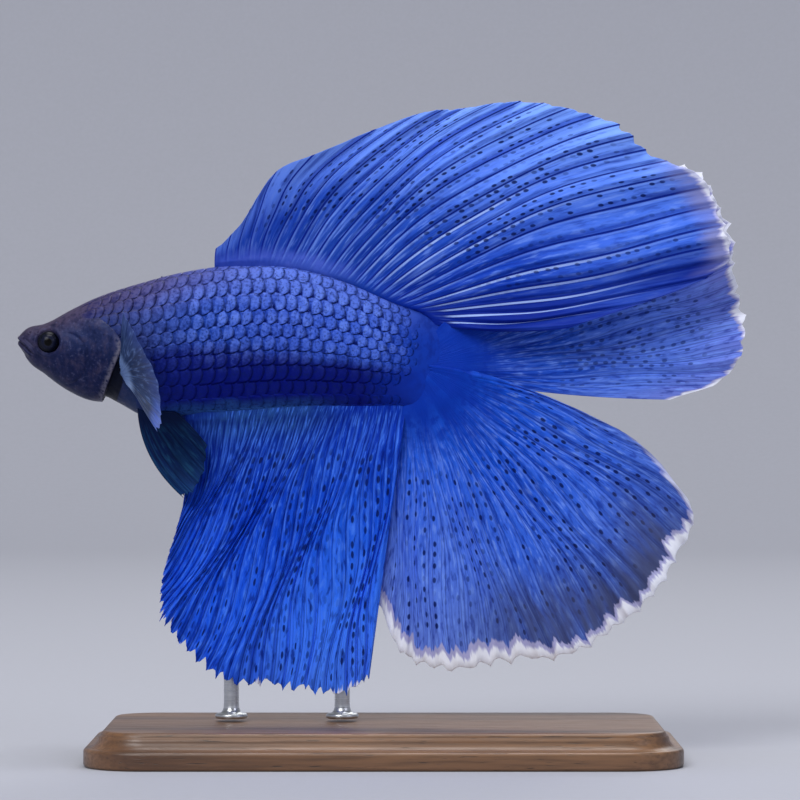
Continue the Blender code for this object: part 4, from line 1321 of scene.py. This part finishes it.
ANAL_LOOK = DORSAL_LOOK | {
    "front": [(0.0, "#0c2a86"), (0.12, "#0a2d98"), (0.4, "#0c42ca"), (0.75, "#1c58e2"), (1.0, "#1446ca")],
    "rear": [(0.0, "#0a2fa6"), (0.12, "#0b38b8"), (0.4, "#1a58dc"), (0.75, "#3c7cff"), (1.0, "#4a80fa")],
    "clear": (-0.4, 1.0), "soft": (-1.5, -0.3), "drift": 1.4, "glow": 0.5, "glow_colour": "#4880f4",
    "shadow": 0.55, "deep": "#03177c", "grain": 0.75, "grain_size": (3.5, 1.8), "line": 0.6,
    "line_edge": (0.3, 0.75), "fork": 0.4, "glint": 0.5, "root_over": False,
    "root": (0.2, 3.0), "root_colour": STRIP_BLUE, "root_share": (0.0, 0.12, 0.45, 0.75),
    "lead": 0.6, "lead_share": (0.0, 0.30), "hollow": 0.0, "crest": 0.0,
    "dash_rows": 1.0, "dash_pitch": 1.2, "dash_width": 0.34, "dash_length": 0.75,
    "dash_reach": (0.1, 0.18, 0.95, 1.0), "dash_share": (0.12, 0.45, 1.9, 2.0),
    "torn": 5.0, "rim_width": (-0.7, -0.4), "dusk": 0.0, "pale": 0.85, "pale_share": EVERYWHERE,
}  # fmt: skip
PELVIC_LOOK = {
    "front": [(0.0, "#060d28"), (0.4, "#04103a"), (0.8, "#08224c"), (1.0, "#0d2f68")],
    "rear": [(0.0, "#060d28"), (0.5, "#061a40"), (1.0, "#0a2452")],
    "turn": (0.30, 0.75), "clear": (0.3, 2.0), "soft": (0.3, 2.0), "drift": 0.6, "glow": 0.4,
    "glow_colour": "#1d4a68", "shadow": 0.5, "deep": "#02061c", "grain": 0.5, "grain_size": (4.0, 1.8),
    "line": 0.5, "line_edge": (0.3, 0.75), "fork": 0.3, "glint": 0.3,
    "root_colour": None, "lead": 0.0, "hollow": 0.0, "crest": 0.0, "dash": 0.0, "torn": 0.0,
}  # fmt: skip
PECTORAL_LOOK = PELVIC_LOOK | {
    "front": [
        (0.0, "#6c84b4"), (0.14, "#8197c0"), (0.28, "#182e52"), (0.68, "#1a3258"), (0.84, "#5576dc"), (1.0, "#7a98f6"),
    ],
    "rear": [(0.0, "#5c74a4"), (0.12, "#6880ac"), (0.25, "#162c52"), (0.6, "#1c305c"), (1.0, "#33488c")],
    "turn": (0.2, 0.42), "drift": 0.5, "glow": 0.15, "glow_colour": "#7f9cd6", "deep": "#14264e",
    "grain": 0.4, "grain_size": (4.0, 1.5), "line": 0.35, "fork": 0.15, "glint": 0.2,
}  # fmt: skip

# What each fin is built from, with lengths in mm. branching holds its forks' heights from 0 to 1, and teeth how
# far the web falls short of the rays at places along the base. inside is how deep the leaf starts in the body,
# smooth how far out the rays come up, and swell how much thicker the root is along the base and how fast that
# fades. leave is the share of its fold that a fin has at its root. half and ray are half of its web's thickness and
# of its rays' width, and pleat is how deep each ray's own fold is. spread crowds the rays towards the rear, and
# waver is how far they stray, in steps between rays.
FIN_USUAL = {
    "spread": 0.0, "inside": 0.9, "waver": 0.0, "leave": 1.0, "pleat": 0.0, "ray": 0.07, "half": 0.075,
    "swell": ([(0, 0.32), (1, 0.32)], 0.9), "smooth": 0.5,
}  # fmt: skip
FIN_PLANS = {
    "dorsal_fin": {
        "slot": "fin_blue", "seed": 1, "branching": (0.45,), "spread": 0.3, "pleat": 0.16, "waver": 0.12,
        "leave": 0.3, "swell": ([(0, 0.2), (0.15, 0.8), (0.6, 0.6), (0.85, 0.3), (1, 0.12)], 0.6), "inside": 1.4,
        "teeth": [(0, 0.1), (0.3, 0.2), (0.48, 0.4), (0.62, 0.6), (0.9, 0.5), (1, 0.2)],
    },
    "anal_fin": {
        "slot": "fin_blue", "seed": 2, "branching": (0.5,), "pleat": 0.16, "waver": 0.7,
        "leave": 0.0, "swell": ([(0, 0.3), (0.1, 0.9), (0.6, 0.8), (0.9, 0.4), (1, 0.15)], 0.9), "inside": 1.4,
        "teeth": [(0, 0.1), (0.15, 0.4), (0.4, 0.8), (0.8, 0.8), (1, 0.5)],
    },
    "tail_fin_upper": {
        "slot": "tail_blue", "seed": 3, "branching": (0.3, 0.62), "pleat": 0.1, "waver": 0.25,
        "leave": 0.2, "swell": ([(0, 0.6), (1, 0.35)], 2.0), "inside": 4.0, "smooth": 5.0,
        "teeth": [(0, 0.2), (0.2, 0.5), (0.8, 0.9), (1, 0.3)],
    },
    "tail_fin_lower": {
        "slot": "tail_blue", "seed": 4, "branching": (0.3, 0.62), "pleat": 0.12, "waver": 0.25,
        "leave": 0.2, "swell": ([(0, 0.6), (0.5, 0.6), (1, 0.2)], 2.0), "inside": 4.0, "smooth": 5.0,
        "teeth": [(0, 0.1), (0.15, 0.4), (0.8, 0.6), (1, 0.3)],
    },
    "pelvic_fin": {"slot": "pelvic_skin", "seed": 7, "branching": (0.5,), "rows": 40, "teeth": [(0, 0.2), (1, 0.2)]},
    "pectoral_fin": {
        "slot": "pale_fin", "seed": 9, "branching": (0.5,), "rows": 40, "half": 0.045, "ray": 0.04,
        "teeth": [(0, 0.2), (1, 0.2)],
    },
}  # fmt: skip


# --- the stage ----------------------------------------------------------------------------------


def build_backdrop(settings):
    """A round pale floor that sweeps up into a wall on all sides.

    Both are one profile turned about the middle: level, a quarter circle, and upright."""
    run = np.linspace(0, math.pi / 2, 13)
    bend, reach, top = 250.0, 800.0, 350.0
    sweep = np.stack([reach - bend + bend * np.sin(run), bend * (1 - np.cos(run))], -1)
    profile = np.concatenate([[(0.0, 0.0), (100.0, 0.0), (300.0, 0.0)], sweep, [(reach, top)]])
    angle = np.linspace(0, 2 * math.pi, 97)[:-1]
    radius, height = profile[1:, :1], profile[1:, 1:]
    rings = np.stack([radius * np.cos(angle), radius * np.sin(angle), height + 0 * angle], -1)
    faces = [face for group in tube(*rings.shape[:2])[:2] for face in group.tolist()]
    mesh = bpy.data.meshes.new("backdrop")
    mesh.from_pydata((np.concatenate([rings.reshape(-1, 3), [(0, 0, 0)]]) * MM).tolist(), [], faces)
    mesh.polygons.foreach_set("use_smooth", np.ones(len(mesh.polygons), bool))
    backdrop = bpy.data.objects.new("backdrop", mesh)
    bpy.context.scene.collection.objects.link(backdrop)
    mesh.materials.append(paper_finish(settings))
    backdrop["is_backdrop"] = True


def build_lights(settings):
    """Round soft lights in front, at the side, above and behind, which aim at the fish, and an even fill."""
    world = bpy.context.scene.world or bpy.data.worlds.new("studio")
    bpy.context.scene.world = world
    world.use_nodes = True
    world.node_tree.nodes["Background"].inputs["Color"].default_value = linear("#e6e8ee")
    world.node_tree.nodes["Background"].inputs["Strength"].default_value = settings.fill
    target = Vector((0, 0, 0.035))
    lights = (
        ("key_light", (-0.44, -0.84, 0.84), 0.64, 1.0, "#ffffff"),
        ("side_light", (0.90, -0.64, 0.50), 0.60, 0.35, "#eef0ff"),
        ("top_light", (0.04, 0.0, 0.84), 0.52, 0.45, "#ffffff"),
        ("back_light", (0.30, 0.90, 0.70), 0.60, 0.3, "#ffffff"),
    )
    for name, place, size, share, tone in lights:
        lamp = bpy.data.lights.new(name, "AREA")
        lamp.shape, lamp.size, lamp.energy, lamp.color = "DISK", size, settings.key * share, linear(tone)[:3]
        light = bpy.data.objects.new(name, lamp)
        light.location = place
        light.rotation_euler = (target - Vector(place)).to_track_quat("-Z", "Y").to_euler()
        bpy.context.scene.collection.objects.link(light)


def build_camera(settings):
    """A level camera on the fish's left. Its lens is as long as makes the frame span the view's width."""
    lens = bpy.data.cameras.new("camera")
    lens.sensor_width, lens.clip_start = 36.0, 0.01
    lens.lens = lens.sensor_width * settings.camera_distance / settings.view_width
    camera = bpy.data.objects.new("camera", lens)
    camera.location = (settings.view_centre_x, -settings.camera_distance, settings.view_centre_z)
    camera.rotation_euler = (math.pi / 2, 0, 0)
    bpy.context.scene.collection.objects.link(camera)
    bpy.context.scene.camera = camera
    bpy.context.scene.view_settings.view_transform = "Standard"


# --- the add-on ---------------------------------------------------------------------------------


def length_setting(name, description, default):
    """A length in metres for the panel."""
    return FloatProperty(name=name, description=description, default=default, unit="LENGTH", precision=5)


def colour_setting(name, description, default):
    """A colour for the panel. default is sRGB hex."""
    return FloatVectorProperty(
        name=name, description=description, default=linear(default), size=4, subtype="COLOR", min=0, max=1
    )


class BettaBody(bpy.types.PropertyGroup):
    skin_columns: IntProperty(name="Skin columns", description="Points round each ring of the skin", default=220)
    coat_depth: length_setting("Coat depth", "How far the skin lies under the scales' rear edges", 0.00012)
    scale_rows: IntProperty(name="Scale rows", description="Rows of scales on a side", default=12)
    scale_pitch: length_setting("Scale pitch", "From one scale of a row to the next", 0.00119)
    scale_points: IntProperty(name="Scale points", description="Points along a scale", default=7)
    back_colour: colour_setting("Back", "Colour of the back", "#5772d4")
    flank_colour: colour_setting("Flank", "Colour of the upper flank", "#2c4cba")
    band_colour: colour_setting("Band", "Colour of the dark band along the lower flank", "#050d6d")


class BettaFins(bpy.types.PropertyGroup):
    per_ray: IntProperty(name="Columns per ray", description="Cells across from one ray to the next", default=16)
    rows: IntProperty(name="Rows", description="Cells out along a ray", default=70)
    dorsal_rays: IntProperty(name="Dorsal rays", description="Rays of the dorsal fin", default=26)
    anal_rays: IntProperty(name="Anal rays", description="Rays of the anal fin", default=34)
    upper_rays: IntProperty(name="Upper lobe rays", description="Rays of the upper tail lobe", default=18)
    lower_rays: IntProperty(name="Lower lobe rays", description="Rays of the lower tail lobe", default=24)


class BettaStand(bpy.types.PropertyGroup):
    rod_radius: length_setting("Rod radius", "Radius of the two rods", 0.00075)
    wood_colour: colour_setting("Wood", "Main colour of the block", "#7d5a3e")
    steel_colour: colour_setting("Steel", "Colour of the rods", "#cfd2d6")


class BettaStage(bpy.types.PropertyGroup):
    paper_colour: colour_setting("Paper", "Colour of the floor and the wall", "#aaacb6")
    camera_distance: length_setting("Camera distance", "From the camera to the model's middle plane", 0.4)
    view_width: length_setting("View width", "What the frame spans at the model's middle plane", 0.07904)
    view_centre_x: length_setting("View centre, along", "Where the camera aims, along the model", 0.00158)
    view_centre_z: length_setting("View centre, up", "Where the camera aims, above the floor", 0.03537)
    key: FloatProperty(name="Key light", description="Strength of the main light", default=9.0, unit="POWER")
    fill: FloatProperty(name="Fill", description="Strength of the even light from all sides", default=0.28)


class BETTA_OT_skin(bpy.types.Operator):
    """Builds the body's skin with the head's forms"""

    bl_idname = "betta.skin"
    bl_label = "Skin"

    def execute(self, context):
        build_skin(context.scene.betta_body)
        return {"FINISHED"}


class BETTA_OT_scales(bpy.types.Operator):
    """Builds the two coats of overlapping scales"""

    bl_idname = "betta.scales"
    bl_label = "Scales"

    def execute(self, context):
        build_scales(context.scene.betta_body, 1, "scales_right")
        build_scales(context.scene.betta_body, -1, "scales_left")
        return {"FINISHED"}


class BETTA_OT_eyes(bpy.types.Operator):
    """Builds the two eyes"""

    bl_idname = "betta.eyes"
    bl_label = "Eyes"

    def execute(self, context):
        build_eye(1, "eye_right")
        build_eye(-1, "eye_left")
        return {"FINISHED"}


class BETTA_OT_unpaired_fins(bpy.types.Operator):
    """Builds the dorsal fin, the anal fin and the tail's two lobes"""

    bl_idname = "betta.unpaired_fins"
    bl_label = "Unpaired fins"

    def execute(self, context):
        fins = context.scene.betta_fins
        shapes = {
            "dorsal_fin": (DORSAL_RAYS, along_body(DORSAL_BASE, 1), dorsal_fold, fins.dorsal_rays, DORSAL_LOOK),
            "anal_fin": (ANAL_RAYS, along_body(ANAL_BASE, -1), anal_fold, fins.anal_rays, ANAL_LOOK),
            "tail_fin_upper": (UPPER_RAYS, round_tail_root(UPPER_BASE), upper_fold, fins.upper_rays, UPPER_LOOK),
            "tail_fin_lower": (LOWER_RAYS, round_tail_root(LOWER_BASE), lower_fold, fins.lower_rays, LOWER_LOOK),
        }
        for name, (rays, root, fold, count, look) in shapes.items():
            painted = fin_finish("painted_" + name, count, look)
            build_fin(name, median_curves(rays, root, fold), count, FIN_PLANS[name], fins, painted)
        return {"FINISHED"}


class BETTA_OT_paired_fins(bpy.types.Operator):
    """Builds the pectoral fins and the pelvic fins"""

    bl_idname = "betta.paired_fins"
    bl_label = "Paired fins"

    def execute(self, context):
        shapes = {"pelvic_fin": (pelvic_curves, 6, PELVIC_LOOK), "pectoral_fin": (pectoral_curves, 11, PECTORAL_LOOK)}
        for kind, (curves, count, look) in shapes.items():
            painted = fin_finish("painted_" + kind, count, look)
            for side, word in ((-1, "left"), (1, "right")):
                plan = FIN_PLANS[kind]
                build_fin(f"{kind}_{word}", curves(side), count, plan, context.scene.betta_fins, painted)
        return {"FINISHED"}


class BETTA_OT_stand(bpy.types.Operator):
    """Builds the walnut block and the two steel rods"""

    bl_idname = "betta.stand"
    bl_label = "Stand"

    def execute(self, context):
        build_base(context.scene.betta_stand)
        build_rod("stand_rod_front", "rod_front", context.scene.betta_stand)
        build_rod("stand_rod_rear", "rod_rear", context.scene.betta_stand)
        return {"FINISHED"}


class BETTA_OT_stage(bpy.types.Operator):
    """Sets the paper sweep, the lights and the camera"""

    bl_idname = "betta.stage"
    bl_label = "Stage"

    def execute(self, context):
        for build in (build_backdrop, build_lights, build_camera):
            build(context.scene.betta_stage)
        return {"FINISHED"}


OPERATORS = (
    BETTA_OT_skin,
    BETTA_OT_scales,
    BETTA_OT_eyes,
    BETTA_OT_unpaired_fins,
    BETTA_OT_paired_fins,
    BETTA_OT_stand,
    BETTA_OT_stage,
)
GROUPS = {"betta_body": BettaBody, "betta_fins": BettaFins, "betta_stand": BettaStand, "betta_stage": BettaStage}


class BETTA_PT_panel(bpy.types.Panel):
    """Lists the model's pieces"""

    bl_idname = "BETTA_PT_panel"
    bl_label = "Betta"
    bl_space_type = "VIEW_3D"
    bl_region_type = "UI"
    bl_category = "Betta"

    def draw(self, context):
        for operator in OPERATORS:
            self.layout.operator(operator.bl_idname)
        for group in GROUPS:
            settings = getattr(context.scene, group)
            box = self.layout.box()
            for name in settings.__annotations__:
                box.prop(settings, name)


def register():
    for made in (*GROUPS.values(), *OPERATORS, BETTA_PT_panel):
        bpy.utils.register_class(made)
    for name, group in GROUPS.items():
        setattr(bpy.types.Scene, name, PointerProperty(type=group))


def unregister():
    for name in GROUPS:
        delattr(bpy.types.Scene, name)
    for made in (BETTA_PT_panel, *OPERATORS[::-1], *GROUPS.values()):
        bpy.utils.unregister_class(made)


def main():
    """Builds everything."""
    register()
    bpy.ops.betta.skin()
    bpy.ops.betta.scales()
    bpy.ops.betta.eyes()
    bpy.ops.betta.unpaired_fins()
    bpy.ops.betta.paired_fins()
    bpy.ops.betta.stand()
    bpy.ops.betta.stage()
    boxes = {"cad": CAD_BOX, "visual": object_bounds()}
    plain = {key: [[float(value) for value in corner] for corner in box] for key, box in boxes.items()}


if __name__ == "__main__":
    main()
